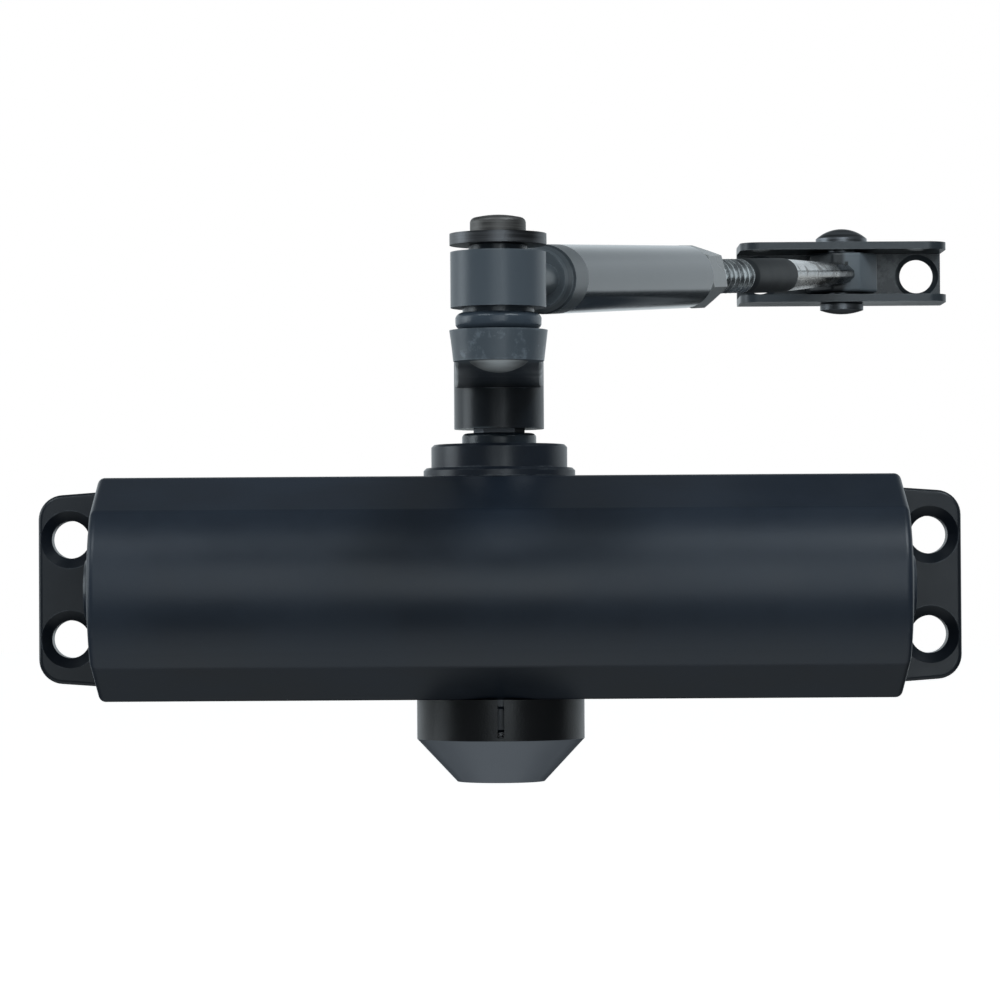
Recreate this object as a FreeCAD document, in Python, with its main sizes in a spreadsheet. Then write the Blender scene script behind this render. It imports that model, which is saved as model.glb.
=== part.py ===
import FreeCAD, Part
import math
import os
import re

import Sketcher
from FreeCAD import Placement, Rotation, Vector

# Surface door closer with a rack and pinion, a regular arm and a frame shoe.
# Origin: middle of the four screw holes, on the plane of the door's face.
# X runs along the closer, Y into the door, Z up. Lengths are in millimetres.

SIZES = {
    # Cast body
    "body_length": 145.6,
    "body_height": 40.6,
    "body_depth": 66.0,
    "flat_depth": 44.0,
    "shoulder_depth": 59.5,
    "nose_height": 28.0,
    "shoulder_round": 4.0,
    "nose_round": 2.5,
    "end_round": 1.3,
    # Screw flanges of the body
    "overall_length": 176.0,
    "flange_thickness": 6.0,
    "flange_root_height": 37.6,
    "flange_tip_height": 35.4,
    "flange_corner": 4.75,
    "flange_edge_round": 0.8,
    "fillet_share": 0.6,
    "hole_pitch": 164.0,
    "hole_rise": 19.0,
    "screw_hole": 7.2,
    "screw_sink": 11.0,
    # Cylinder, with its axis along X
    "bore_depth": 40.0,
    "bore_diameter": 30.0,
    "seat_gap": 0.05,
    "running_gap": 0.06,
    # End plugs
    "plug_diameter": 32.0,
    "plug_seat": 9.0,
    "plug_spigot": 6.0,
    "plug_recess": 0.4,
    "plug_boss": 11.6,
    "plug_boss_height": 2.6,
    "plug_socket": 5.0,
    "plug_socket_depth": 5.0,
    "small_chamfer": 0.5,
    "seal_section": 1.6,
    "seal_groove_width": 2.4,
    "seal_groove_depth": 1.65,
    "seal_setback": 3.0,
    # Speed valves in the left end
    "valve_depth": 14.0,
    "valve_rise": 9.0,
    "valve_bore": 7.0,
    "valve_length": 20.0,
    "valve_recess": 0.6,
    "valve_neck": 4.0,
    "valve_neck_length": 3.0,
    "valve_tip_length": 5.0,
    "valve_slot": 1.0,
    "valve_slot_depth": 1.6,
    "channel_bore": 2.0,
    # Pinion axis and its bearing caps
    "pinion_depth": 30.0,
    "pinion_bore": 24.0,
    "cap_thread": 26.0,
    "cap_seat": 5.0,
    "cap_base": 28.0,
    "cap_base_height": 1.7,
    "cap_ring": 25.1,
    "cap_ring_height": 4.3,
    "cap_lip": 2.6,
    "cap_clearance": 0.24,
    "bearing_diameter": 17.0,
    "bearing_height": 5.2,
    "shaft_seal_height": 3.0,
    "shaft_seal_lip": 0.9,
    "dust_ring": 13.7,
    "dust_ring_height": 2.1,
    "dust_ring_round": 0.8,
    # Pinion shaft
    "journal": 11.0,
    "square_width": 9.4,
    "square_start": 28.0,
    "square_end": 41.0,
    "pinion_teeth": 11,
    "gear_module": 1.2,
    "pressure_angle": 25.0,
    "gear_width": 18.0,
    "pinion_addendum": 1.08,
    "pinion_dedendum": 1.35,
    "backlash": 0.16,
    # Piston and rack
    "piston_left": 11.8,
    "piston_right": 17.0,
    "piston_gap": 0.08,
    "window_left": 27.6,
    "window_right": 9.0,
    "rack_teeth": 9,
    "rack_start": 1.5,
    "rack_width": 17.0,
    "rack_addendum": 0.96,
    "rack_dedendum": 1.4,
    "piston_seal_setback": 6.0,
    "piston_seal_width": 3.0,
    "piston_seal_depth": 1.5,
    "check_offset": 9.0,
    "check_port": 2.2,
    "check_bore": 4.4,
    "check_bore_depth": 8.0,
    "check_ball": 4.0,
    "retainer_length": 2.4,
    "retainer_hole": 1.8,
    # Closing spring
    "spring_wire": 3.2,
    "spring_mean": 23.2,
    "spring_turns": 5.5,
    # Cover of the lower shaft end
    "cover_diameter": 30.9,
    "cover_straight": 7.5,
    "cover_height": 15.4,
    "cover_tip": 16.1,
    "cover_wall": 1.2,
    "cover_slit": 1.2,
    # Main arm
    "arm_length": 170.0,
    "arm_bottom": 32.6,
    "arm_thickness": 4.4,
    "arm_rise": 4.2,
    "arm_boss": 16.6,
    "arm_boss_bottom": 29.2,
    "arm_boss_top": 41.6,
    "arm_bar_boss": 16.2,
    "arm_bar_eye": 12.5,
    "arm_eye": 14.0,
    "arm_eye_draft": 7.0,
    "arm_edge_round": 0.6,
    "washer_diameter": 14.5,
    "washer_thickness": 1.5,
    "arm_screw": 6.0,
    "arm_screw_length": 12.0,
    "arm_screw_flats": 10.0,
    "arm_screw_head": 4.0,
    # Elbow
    "elbow_pin": 6.4,
    "peened_head": 8.5,
    "peened_height": 1.6,
    "elbow_dome": 7.8,
    "elbow_dome_height": 2.6,
    "elbow_washer": 13.8,
    "elbow_washer_height": 1.6,
    "elbow_washer_bottom": 49.1,
    "elbow_foot": 9.8,
    "elbow_foot_height": 0.8,
    "elbow_ring": 12.1,
    "elbow_ring_height": 1.3,
    "bush_collar": 10.2,
    "bush_body": 8.4,
    # Forearm
    "forearm_turn": 71.2,
    "forearm_rise": 4.23,
    "eye_diameter": 13.6,
    "eye_bottom": 40.2,
    "eye_height": 7.9,
    "neck_width": 6.8,
    "neck_height": 4.8,
    "barrel_diameter": 10.3,
    "barrel_face": 8.6,
    "barrel_start": 17.7,
    "barrel_end": 95.4,
    "barrel_nose": 2.0,
    "barrel_ring_groove": 0.8,
    "barrel_ring_depth": 0.45,
    "barrel_band_end": 26.7,
    "barrel_chamfer": 0.5,
    "rod_bore": 6.1,
    "rod_bore_start": 27.5,
    "nut_flats": 10.0,
    "nut_length": 5.2,
    "nut_chamfer": 0.7,
    "rod_thread": 5.9,
    "rod_plain": 6.1,
    "rod_inner_end": 55.0,
    "thread_end": 134.0,
    "taper_start": 45.4,
    "taper_end": 5.4,
    "taper_width": 9.2,
    "taper_height": 5.2,
    "rod_eye": 12.9,
    "rod_eye_height": 7.4,
    "forearm_reach": 202.82,
    # Frame shoe
    "shoe_length": 39.0,
    "shoe_height": 11.3,
    "shoe_wall": 1.4,
    "shoe_depth": 14.5,
    "shoe_corner": 3.5,
    "shoe_bend": 1.2,
    "shoe_hole_pitch": 30.0,
    "shoe_hole": 6.4,
    "shoe_sink": 8.3,
    "rivet_depth": 8.0,
    "rivet": 5.4,
    "rivet_dome": 9.5,
    "rivet_dome_height": 2.9,
    "rivet_head": 8.2,
    "rivet_head_height": 2.0,
}

# Formulas that several pieces share
BODY_END = "body_length / 2"
BODY_TOP = "body_height / 2"
BORE = "bore_diameter / 2"
PITCH_RADIUS = "gear_module * pinion_teeth / 2"
CIRCULAR_PITCH = "(pi * gear_module)"
CAP_TOP = "(body_height / 2 + cap_base_height + cap_ring_height)"
ARM_TOP = "(arm_bottom + arm_thickness)"
ELBOW_DEPTH = "(pinion_depth + arm_length)"
EYE_MIDDLE = "(eye_bottom + eye_height / 2)"
SHOE_X = "(forearm_reach * cos(forearm_turn))"
ROD_EYE_LEVEL = "(forearm_reach * tan(forearm_rise))"
PLUG_DEPTH = "(plug_seat + plug_spigot)"
FLANGE_WIDTH = "((overall_length - body_length) / 2)"
PISTON_LEFT = f"({BODY_END} - {PLUG_DEPTH} - piston_left)"
SHOE_LEVEL = f"({EYE_MIDDLE} + {ROD_EYE_LEVEL})"
SHOE_Y = f"(forearm_reach * sin(forearm_turn) - {ELBOW_DEPTH} + rivet_depth)"
ROD_EYE_ALONG = "(forearm_reach / cos(forearm_rise))"

# A half circle is drawn a touch larger than its chord needs
JUST_OVER = "1.0001"
# An edge counts as a long one when it has most of the piece's length
MOST = 0.9

doc = FreeCAD.newDocument("DoorCloser")
sheet = doc.addObject("Spreadsheet::Sheet", "Sizes")
for row, (alias, number) in enumerate(SIZES.items(), start=1):
    sheet.set(f"A{row}", alias)
    sheet.set(f"B{row}", str(number))
    sheet.setAlias(f"B{row}", alias)
doc.recompute()

nodes = []


def bound(formula):
    """The formula with each size name pointing at its cell."""
    return re.sub(
        r"[A-Za-z_]\w*",
        lambda word: f"Sizes.{word.group(0)}" if word.group(0) in SIZES else word.group(0),
        str(formula),
    )


def value(formula):
    """The formula's present value as a number."""
    return float(sheet.evalExpression(bound(formula)))


def place(item, x="0", y="0", z="0", turn=None, axis=Vector(0, 0, 1)):
    """Places an object by formulas, turned by an angle about an axis."""
    item.Placement = Placement(Vector(), Rotation(axis, 0 if turn is None else value(turn)))
    item.setExpression("Placement.Base.x", bound(x))
    item.setExpression("Placement.Base.y", bound(y))
    item.setExpression("Placement.Base.z", bound(z))
    if turn is not None:
        item.setExpression("Placement.Rotation.Angle", bound(turn))


def new_body(label, **where):
    """A sub-part with its own label and place."""
    body = doc.addObject("PartDesign::Body", label)
    body.Label = label
    place(body, **where)
    nodes.append(body)
    return body


def new_sketch(body, name, role, lift=None, tilt=None, tilt_axis=Vector(0, 0, 1)):
    """A sketch on one of the body's planes, lifted along its normal and tilted."""
    sketch = body.newObject("Sketcher::SketchObject", f"{body.Label}_{name}")
    plane = [item for item in body.Origin.OriginFeatures if item.Role == role][0]
    sketch.AttachmentSupport = [(plane, "")]
    sketch.MapMode = "FlatFace"
    if tilt is not None:
        sketch.AttachmentOffset = Placement(Vector(), Rotation(tilt_axis, value(tilt)))
        sketch.setExpression("AttachmentOffset.Rotation.Angle", bound(tilt))
    if lift is not None:
        sketch.setExpression("AttachmentOffset.Base.z", bound(lift))
    return sketch


def hold(sketch, name, kind, first, formula, *second):
    """A named constraint whose size follows a formula."""
    index = sketch.addConstraint(Sketcher.Constraint(kind, *first, *second, value(formula)))
    sketch.renameConstraint(index, name)
    sketch.setExpression(f"Constraints.{name}", bound(formula))


def hold_point(sketch, name, edge, end, x, y):
    """Holds one end of an edge at a distance from both axes."""
    hold(sketch, f"{name}_x", "DistanceX", (-1, 1, edge, end), x)
    hold(sketch, f"{name}_y", "DistanceY", (-1, 1, edge, end), y)


def outline(body, name, role, corners, arcs=None, **where):
    """A closed outline. Each arc starts at a corner, with a radius and the side it swells to."""
    sketch = new_sketch(body, name, role, **where)
    arcs = arcs or {}
    points = [Vector(value(x), value(y), 0) for x, y in corners]
    ends = []
    for index, start in enumerate(points):
        stop = points[(index + 1) % len(points)]
        if index not in arcs:
            sketch.addGeometry(Part.LineSegment(start, stop), False)
            ends.append((1, 2))
            continue
        radius, side = arcs[index]
        chord = stop - start
        across = Vector(-chord.y, chord.x, 0).normalize() * side
        swell = value(radius) - math.sqrt(max(value(radius) ** 2 - chord.Length**2 / 4, 0))
        arc = Part.Arc(start, (start + stop) * 0.5 + across * swell, stop)
        sketch.addGeometry(arc, False)
        drawn = sketch.Geometry[index]
        forward = (drawn.StartPoint - start).Length < (drawn.EndPoint - start).Length
        ends.append((1, 2) if forward else (2, 1))
    for index in range(len(points)):
        after = (index + 1) % len(points)
        sketch.addConstraint(
            Sketcher.Constraint("Coincident", index, ends[index][1], after, ends[after][0])
        )
    for index, (x, y) in enumerate(corners):
        hold_point(sketch, f"corner{index}", index, ends[index][0], x, y)
    for index, (radius, _) in arcs.items():
        hold(sketch, f"radius{index}", "Radius", (index,), radius)
    return sketch


def circles(body, name, role, rounds, **where):
    """Circles given by centre and radius."""
    sketch = new_sketch(body, name, role, **where)
    for index, (x, y, radius) in enumerate(rounds):
        centre = Vector(value(x), value(y), 0)
        sketch.addGeometry(Part.Circle(centre, Vector(0, 0, 1), value(radius)), False)
        hold_point(sketch, f"centre{index}", index, 3, x, y)
        hold(sketch, f"radius{index}", "Radius", (index,), radius)
    return sketch


def rectangle(body, name, role, left, right, low, high, **where):
    """An upright rectangle."""
    corners = [(left, low), (right, low), (right, high), (left, high)]
    return outline(body, name, role, corners, **where)


def hexagon(body, name, role, flats, **where):
    """A hexagon about the origin, with two sides level."""
    reach = f"({flats}) / sqrt(3)"
    corners = [(f"{reach} * cos({60 * k})", f"{reach} * sin({60 * k})") for k in range(6)]
    return outline(body, name, role, corners, **where)


def add(body, kind, name, sketch, length=None, both=False, back=False):
    """A pad or a pocket from a sketch. With no length it goes right through."""
    before = 0 if body.Tip is None else body.Shape.Volume
    feature = body.newObject(f"PartDesign::{kind}", f"{body.Label}_{name}")
    feature.Profile = sketch
    feature.SideType = "Symmetric" if both else "One side"
    feature.Reversed = back
    if length is None:
        feature.Type = "ThroughAll"
    else:
        feature.setExpression("Length", bound(length))
    sketch.Visibility = False
    doc.recompute()
    grew = body.Shape.Volume - before
    if grew * (1 if kind == "Pad" else -1) <= 0:
        raise RuntimeError(f"{feature.Name} changes nothing")
    return feature


def pad(body, name, sketch, length, **how):
    """Material grown from a sketch."""
    return add(body, "Pad", name, sketch, length, **how)


def pocket(body, name, sketch, length=None, **how):
    """Material cut away by a sketch."""
    return add(body, "Pocket", name, sketch, length, **how)


def turn(body, name, sketch, axis, groove=False):
    """A full turn of a sketch about one of its axes."""
    kind = "Groove" if groove else "Revolution"
    before = 0 if body.Tip is None else body.Shape.Volume
    feature = body.newObject(f"PartDesign::{kind}", f"{body.Label}_{name}")
    feature.Profile = sketch
    feature.ReferenceAxis = (sketch, [axis])
    feature.Angle = 360
    sketch.Visibility = False
    doc.recompute()
    grew = body.Shape.Volume - before
    if grew * (-1 if groove else 1) <= 0:
        raise RuntimeError(f"{feature.Name} changes nothing")
    return feature


def upright(label, corners, arcs=None, **where):
    """A piece turned about its own vertical axis. Corners are radius and height."""
    body = new_body(label, **where)
    turn(body, "turned", outline(body, "profile", "XZ_Plane", corners, arcs), "V_Axis")
    return body


def lying(label, corners, arcs=None, **where):
    """A piece turned about its own X axis. Corners are length and radius."""
    body = new_body(label, **where)
    turn(body, "turned", outline(body, "profile", "XZ_Plane", corners, arcs), "H_Axis")
    return body


def soften(body, name, radius, chosen, kind="Fillet"):
    """Rounds or chamfers the edges whose middle and direction pass a test."""
    shape = body.Tip.Shape
    names = []
    for index, edge in enumerate(shape.Edges, start=1):
        middle = edge.valueAt((edge.FirstParameter + edge.LastParameter) / 2)
        span = edge.valueAt(edge.LastParameter) - edge.valueAt(edge.FirstParameter)
        if chosen(middle, span):
            names.append(f"Edge{index}")
    if not names:
        raise RuntimeError(f"{body.Label} {name} finds no edge")
    feature = body.newObject(f"PartDesign::{kind}", f"{body.Label}_{name}")
    feature.Base = (body.Tip if feature is not body.Tip else feature.BaseFeature, names)
    feature.setExpression("Radius" if kind == "Fillet" else "Size", bound(radius))
    doc.recompute()
    return feature


def near(first, second):
    """Whether two lengths are the same to a hundredth of a millimetre."""
    return abs(first - second) < 0.01


def closer_body():
    """Cast body with shoulders and a crowned front, screw flanges, cylinder and bores."""
    body = new_body("closer_body")
    nose = "nose_height / 2"
    rise = "(body_depth - shoulder_depth)"
    section = [
        ("0", BODY_TOP),
        ("-flat_depth", BODY_TOP),
        ("-shoulder_depth", nose),
        ("-shoulder_depth", f"-{nose}"),
        ("-flat_depth", f"-{BODY_TOP}"),
        ("0", f"-{BODY_TOP}"),
    ]
    crown = f"(({nose}) ^ 2 + {rise} ^ 2) / (2 * {rise})"
    pad(body, "casting", outline(body, "section", "YZ_Plane", section, {2: (crown, -1)}),
        "body_length", both=True)
    lengthwise = value("body_length") * MOST

    def corner(depth, height):
        """Edges along the body at a depth and a height on either side."""
        return lambda middle, span: (
            abs(span.x) > lengthwise
            and near(middle.y, -value(depth))
            and near(abs(middle.z), value(height))
        )

    soften(body, "shoulder_rounds", "shoulder_round", corner("flat_depth", BODY_TOP))
    soften(body, "nose_rounds", "nose_round", corner("shoulder_depth", nose))
    soften(body, "end_rounds", "end_round", lambda middle, span: (
        near(abs(middle.x), value(BODY_END)) and middle.y < -0.01
    ))
    tip = "overall_length / 2"
    root_rise = "flange_root_height / 2"
    tip_rise = "flange_tip_height / 2"
    plan = [
        (f"-{tip}", tip_rise),
        (f"-{BODY_END}", root_rise),
        (BODY_END, root_rise),
        (tip, tip_rise),
        (tip, f"-{tip_rise}"),
        (BODY_END, f"-{root_rise}"),
        (f"-{BODY_END}", f"-{root_rise}"),
        (f"-{tip}", f"-{tip_rise}"),
    ]
    pad(body, "flanges", outline(body, "flange_plan", "XZ_Plane", plan), "flange_thickness")
    corner_round = f"min(flange_corner; {FLANGE_WIDTH} * fillet_share)"
    soften(body, "flange_corners", corner_round, lambda middle, span: (
        near(abs(middle.x), value(tip)) and abs(span.y) > value("flange_thickness") * MOST
    ))
    edge_round = f"min(flange_edge_round; {FLANGE_WIDTH} * fillet_share / 2)"
    soften(body, "flange_edges", edge_round, lambda middle, span: (
        near(middle.y, -value("flange_thickness"))
        and abs(middle.x) > value(BODY_END) + value("seat_gap")
    ))
    holes = circles(
        body, "screw_places", "XZ_Plane",
        [(f"{side} * hole_pitch / 2", f"{level} * hole_rise / 2", "screw_hole / 2")
         for side in (-1, 1) for level in (-1, 1)],
        lift="flange_thickness",
    )
    doc.recompute()
    before = body.Shape.Volume
    hole = body.newObject("PartDesign::Hole", "closer_body_screw_holes")
    hole.Profile = holes
    holes.Visibility = False
    hole.HoleCutType = "Countersink"
    hole.DepthType = "ThroughAll"
    hole.HoleCutCountersinkAngle = 90
    hole.setExpression("Diameter", bound("screw_hole"))
    hole.setExpression("HoleCutDiameter", bound("screw_sink"))
    doc.recompute()
    if body.Shape.Volume >= before:
        raise RuntimeError("the screw holes cut nothing")
    bore = circles(body, "cylinder_bore", "YZ_Plane", [("-bore_depth", "0", BORE)])
    pocket(body, "cylinder", bore, both=True)
    for end, lift, back in (("left", f"-{BODY_END}", True), ("right", BODY_END, False)):
        seat = circles(body, f"{end}_seat", "YZ_Plane",
                       [("-bore_depth", "0", "plug_diameter / 2")], lift=lift)
        pocket(body, f"{end}_plug_seat", seat, "plug_seat", back=back)
    shaft = circles(body, "shaft_bore", "XY_Plane", [("0", "-pinion_depth", "pinion_bore / 2")])
    pocket(body, "pinion_room", shaft, both=True)
    for end, lift, back in (("lower", f"-{BODY_TOP}", True), ("upper", BODY_TOP, False)):
        seat = circles(body, f"{end}_seat", "XY_Plane",
                       [("0", "-pinion_depth", "cap_thread / 2")], lift=lift)
        pocket(body, f"{end}_cap_seat", seat, "cap_seat", back=back)
    valves = circles(
        body, "valve_places", "YZ_Plane",
        [("-valve_depth", f"{level} * valve_rise", "valve_bore / 2") for level in (-1, 1)],
        lift=f"-{BODY_END}",
    )
    pocket(body, "valve_bores", valves, "valve_length + valve_recess + small_chamfer", back=True)
    channels = circles(
        body, "channel_places", "XZ_Plane",
        [(f"-{BODY_END} + valve_length - channel_bore / 2", f"{level} * valve_rise", "channel_bore / 2")
         for level in (-1, 1)],
        lift="valve_depth",
    )
    pocket(body, "channels", channels, "bore_depth - valve_depth - channel_bore", back=True)
    return body


def end_plug(label, side):
    """Screwed plug that closes the cylinder, with a seal groove and a socket boss."""
    spigot = f"{BORE} - seat_gap"
    seat = "plug_diameter / 2 - seat_gap"
    groove_start = f"(seal_setback + seal_groove_width - {PLUG_DEPTH})"
    groove_end = f"(seal_setback - {PLUG_DEPTH})"
    floor = f"{BORE} - seal_groove_depth"
    boss = "plug_boss / 2"
    corners = [
        (f"-{PLUG_DEPTH}", "0"),
        (f"-{PLUG_DEPTH}", spigot),
        (groove_end, spigot),
        (groove_end, floor),
        (groove_start, floor),
        (groove_start, spigot),
        ("-plug_seat", spigot),
        ("-plug_seat", seat),
        ("-plug_recess - small_chamfer", seat),
        ("-plug_recess", f"{seat} - small_chamfer"),
        ("-plug_recess", boss),
        ("plug_boss_height - small_chamfer", boss),
        ("plug_boss_height", f"{boss} - small_chamfer"),
        ("plug_boss_height", "0"),
    ]
    angle = "0" if side > 0 else "180"
    body = lying(label, corners, x=f"{side} * {BODY_END}", y="-bore_depth", turn=angle)
    socket = hexagon(body, "socket_shape", "YZ_Plane", "plug_socket", lift="plug_boss_height")
    pocket(body, "socket", socket, "plug_socket_depth")
    return body


def torus(label, ring, tube, angle, **where):
    """A round rubber ring of a mean radius and a section radius."""
    item = doc.addObject("Part::Torus", label)
    item.Label = label
    item.setExpression("Radius1", bound(ring))
    item.setExpression("Radius2", bound(tube))
    place(item, turn=angle, axis=Vector(0, 1, 0), **where)
    nodes.append(item)


def plug_seals():
    """Sealing rings in the grooves of the two end plugs."""
    ring = f"{BORE} - seat_gap / 2 - seal_section / 2"
    for end, side in (("left", -1), ("right", 1)):
        middle = f"{side} * ({BODY_END} - {PLUG_DEPTH} + seal_setback + seal_groove_width / 2)"
        torus(f"{end}_plug_seal", ring, "seal_section / 2", "90", x=middle, y="-bore_depth")


def speed_valve(label, level):
    """Slotted valve screw with a stepped tip and a sealing ring groove."""
    head = "valve_bore / 2 - seat_gap"
    neck = "valve_neck / 2"
    corners = [
        ("0", "0"),
        ("0", head),
        ("valve_length - valve_tip_length - valve_neck_length", head),
        ("valve_length - valve_tip_length - valve_neck_length", neck),
        ("valve_length - valve_tip_length", neck),
        ("valve_length - valve_tip_length", head),
        ("valve_length - valve_tip_length + small_chamfer", head),
        ("valve_length", "small_chamfer"),
        ("valve_length", "0"),
    ]
    body = lying(label, corners, x=f"-{BODY_END} + valve_recess", y="-valve_depth",
                 z=f"{level} * valve_rise")
    slot = rectangle(body, "slot_shape", "YZ_Plane", "-valve_bore", "valve_bore",
                     "-valve_slot / 2", "valve_slot / 2")
    pocket(body, "slot", slot, "valve_slot_depth", back=True)
    return body


def valve_seals():
    """Sealing ring of each speed valve, on its neck."""
    tube = "((valve_bore - valve_neck) / 2 - seat_gap) / 2"
    ring = f"valve_neck / 2 + seat_gap / 2 + {tube}"
    middle = f"valve_recess + valve_length - valve_tip_length - valve_neck_length / 2 - {BODY_END}"
    for name, level in (("latch", -1), ("sweep", 1)):
        torus(f"{name}_valve_seal", ring, tube, "90", x=middle, y="-valve_depth",
              z=f"{level} * valve_rise")


def bearing_cap(label, angle):
    """Threaded cap that carries the bearing and the shaft seal, with a turned collar."""
    seat = "bearing_diameter / 2 + seat_gap"
    hole = "journal / 2 + cap_clearance"
    bottom = f"({BODY_TOP} - cap_seat + seat_gap)"
    thread = "cap_thread / 2 - seat_gap"
    collar = "cap_ring / 2"
    step = f"({BODY_TOP} + cap_base_height)"
    corners = [
        (seat, bottom),
        (thread, bottom),
        (thread, BODY_TOP),
        ("cap_base / 2", BODY_TOP),
        ("cap_base / 2", f"{step} - small_chamfer"),
        ("cap_base / 2 - small_chamfer", step),
        (collar, step),
        (collar, f"{CAP_TOP} - small_chamfer"),
        (f"{collar} - small_chamfer", CAP_TOP),
        (hole, CAP_TOP),
        (hole, f"{CAP_TOP} - cap_lip"),
        (seat, f"{CAP_TOP} - cap_lip"),
    ]
    body = new_body(label, y="-pinion_depth", turn=angle, axis=Vector(1, 0, 0))
    turn(body, "turned", outline(body, "profile", "XZ_Plane", corners), "V_Axis")
    return body


def ring(label, inner, outer, low, high, angle):
    """A plain ring on the pinion axis."""
    corners = [(inner, low), (outer, low), (outer, high), (inner, high)]
    body = new_body(label, y="-pinion_depth", turn=angle, axis=Vector(1, 0, 0))
    turn(body, "turned", outline(body, "profile", "XZ_Plane", corners), "V_Axis")
    return body


def shaft_bearings():
    """Bearing bush in each cap, under the shaft seal."""
    top = f"({CAP_TOP} - cap_lip - shaft_seal_height - 2 * seat_gap)"
    for end, angle in (("upper", "0"), ("lower", "180")):
        ring(f"{end}_bearing", "journal / 2 + running_gap", "bearing_diameter / 2",
             f"{top} - bearing_height", top, angle)


def shaft_seals():
    """Lip seal in each cap: a cup whose lip leans on the shaft."""
    top = f"({CAP_TOP} - cap_lip - seat_gap)"
    low = f"({top} - shaft_seal_height)"
    outer = "bearing_diameter / 2"
    inner = "(journal / 2 + running_gap)"
    corners = [
        (f"{outer} - shaft_seal_lip", low),
        (outer, low),
        (outer, top),
        (f"{inner} + shaft_seal_lip / 2", top),
        (inner, f"{low} + shaft_seal_lip"),
        (f"{inner} + shaft_seal_lip", f"{low} + shaft_seal_lip"),
        (f"{inner} + shaft_seal_lip * 3 / 2", f"{top} - shaft_seal_lip"),
        (f"{outer} - shaft_seal_lip", f"{top} - shaft_seal_lip"),
    ]
    for end, angle in (("upper", "0"), ("lower", "180")):
        body = new_body(f"{end}_shaft_seal", y="-pinion_depth", turn=angle,
                        axis=Vector(1, 0, 0))
        turn(body, "turned", outline(body, "profile", "XZ_Plane", corners), "V_Axis")


def dust_ring():
    """Small rounded ring between the upper cap and the arm."""
    inner = "journal / 2 + running_gap"
    outer = "dust_ring / 2"
    top = f"({CAP_TOP} + dust_ring_height)"
    corners = [
        (inner, CAP_TOP),
        (outer, CAP_TOP),
        (outer, f"{top} - dust_ring_round"),
        (f"{outer} - dust_ring_round", top),
        (inner, top),
    ]
    upright("dust_ring", corners, {2: ("dust_ring_round", -1)}, y="-pinion_depth")


def pinion_shaft():
    """Shaft with a square on each end and a pinion cut in its middle."""
    body = new_body("pinion_shaft", y="-pinion_depth")
    tip = f"({PITCH_RADIUS} + pinion_addendum)"
    half = "(gear_width / 2)"
    corners = [
        ("0", "-square_start"),
        ("journal / 2", "-square_start"),
        ("journal / 2", f"-{half}"),
        (tip, f"-{half}"),
        (tip, half),
        ("journal / 2", half),
        ("journal / 2", "square_start"),
        ("0", "square_start"),
    ]
    turn(body, "turned", outline(body, "profile", "XZ_Plane", corners), "V_Axis")
    side = "square_width / 2"
    corner = "sqrt((journal / 2) ^ 2 - (square_width / 2) ^ 2)"
    square = [
        (side, f"-{corner}"), (side, corner), (corner, side), (f"-{corner}", side),
        (f"-{side}", corner), (f"-{side}", f"-{corner}"), (f"-{corner}", f"-{side}"),
        (corner, f"-{side}"),
    ]
    length = "square_end - square_start"
    pad(body, "upper_square", outline(body, "upper_end", "XY_Plane", square,
                                      lift="square_start"), length)
    pad(body, "lower_square", outline(body, "lower_end", "XY_Plane", square,
                                      lift="-square_start"),
        "cover_height - cover_wall - square_start + body_height / 2 - small_chamfer", back=True)
    tapped = circles(body, "tapped_place", "XY_Plane",
                     [("0", "0", "arm_screw / 2 + seat_gap")], lift="square_end")
    pocket(body, "tapped_hole", tapped, "arm_screw_length + small_chamfer")

    base = f"({PITCH_RADIUS} * cos(pressure_angle))"
    involute = "(180 / pi * tan(acos({0} / {1})) - acos({0} / {1}) / 1deg)"
    at_pitch = "(180 / pi * tan(pressure_angle) - pressure_angle)"
    thinning = f"(backlash / 4 / ({PITCH_RADIUS}) * 180 / pi)"
    half_tooth = f"(90 / pinion_teeth - {thinning})"

    def flank(radius, involute_angle):
        """Half the angle of the gap between two teeth at a radius."""
        return f"(180 / pinion_teeth - {half_tooth} - {at_pitch} + {involute_angle})"

    root = f"({PITCH_RADIUS} - pinion_dedendum)"
    over = f"({tip} + gear_module / 2)"
    middle = "180 / pinion_teeth"
    steps = [
        (root, flank(root, "0")),
        (base, flank(base, "0")),
        (f"({PITCH_RADIUS})", flank(PITCH_RADIUS, at_pitch)),
        (f"({PITCH_RADIUS} + {tip}) / 2",
         flank(tip, involute.format(base, f"(({PITCH_RADIUS} + {tip}) / 2)"))),
        (over, flank(over, involute.format(base, over))),
    ]
    gap = [(f"{r} * sin({middle} + {a})", f"-{r} * cos({middle} + {a})") for r, a in steps]
    gap += [(f"{r} * sin({middle} - {a})", f"-{r} * cos({middle} - {a})")
            for r, a in reversed(steps)]
    space = outline(body, "tooth_gap", "XY_Plane", gap)
    cut = pocket(body, "first_gap", space, "gear_width", both=True)
    teeth = body.newObject("PartDesign::PolarPattern", "pinion_shaft_teeth")
    teeth.Originals = [cut]
    teeth.Axis = (space, ["N_Axis"])
    teeth.Angle = 360
    teeth.setExpression("Occurrences", bound("pinion_teeth"))
    body.Tip = teeth
    doc.recompute()
    return body


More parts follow.
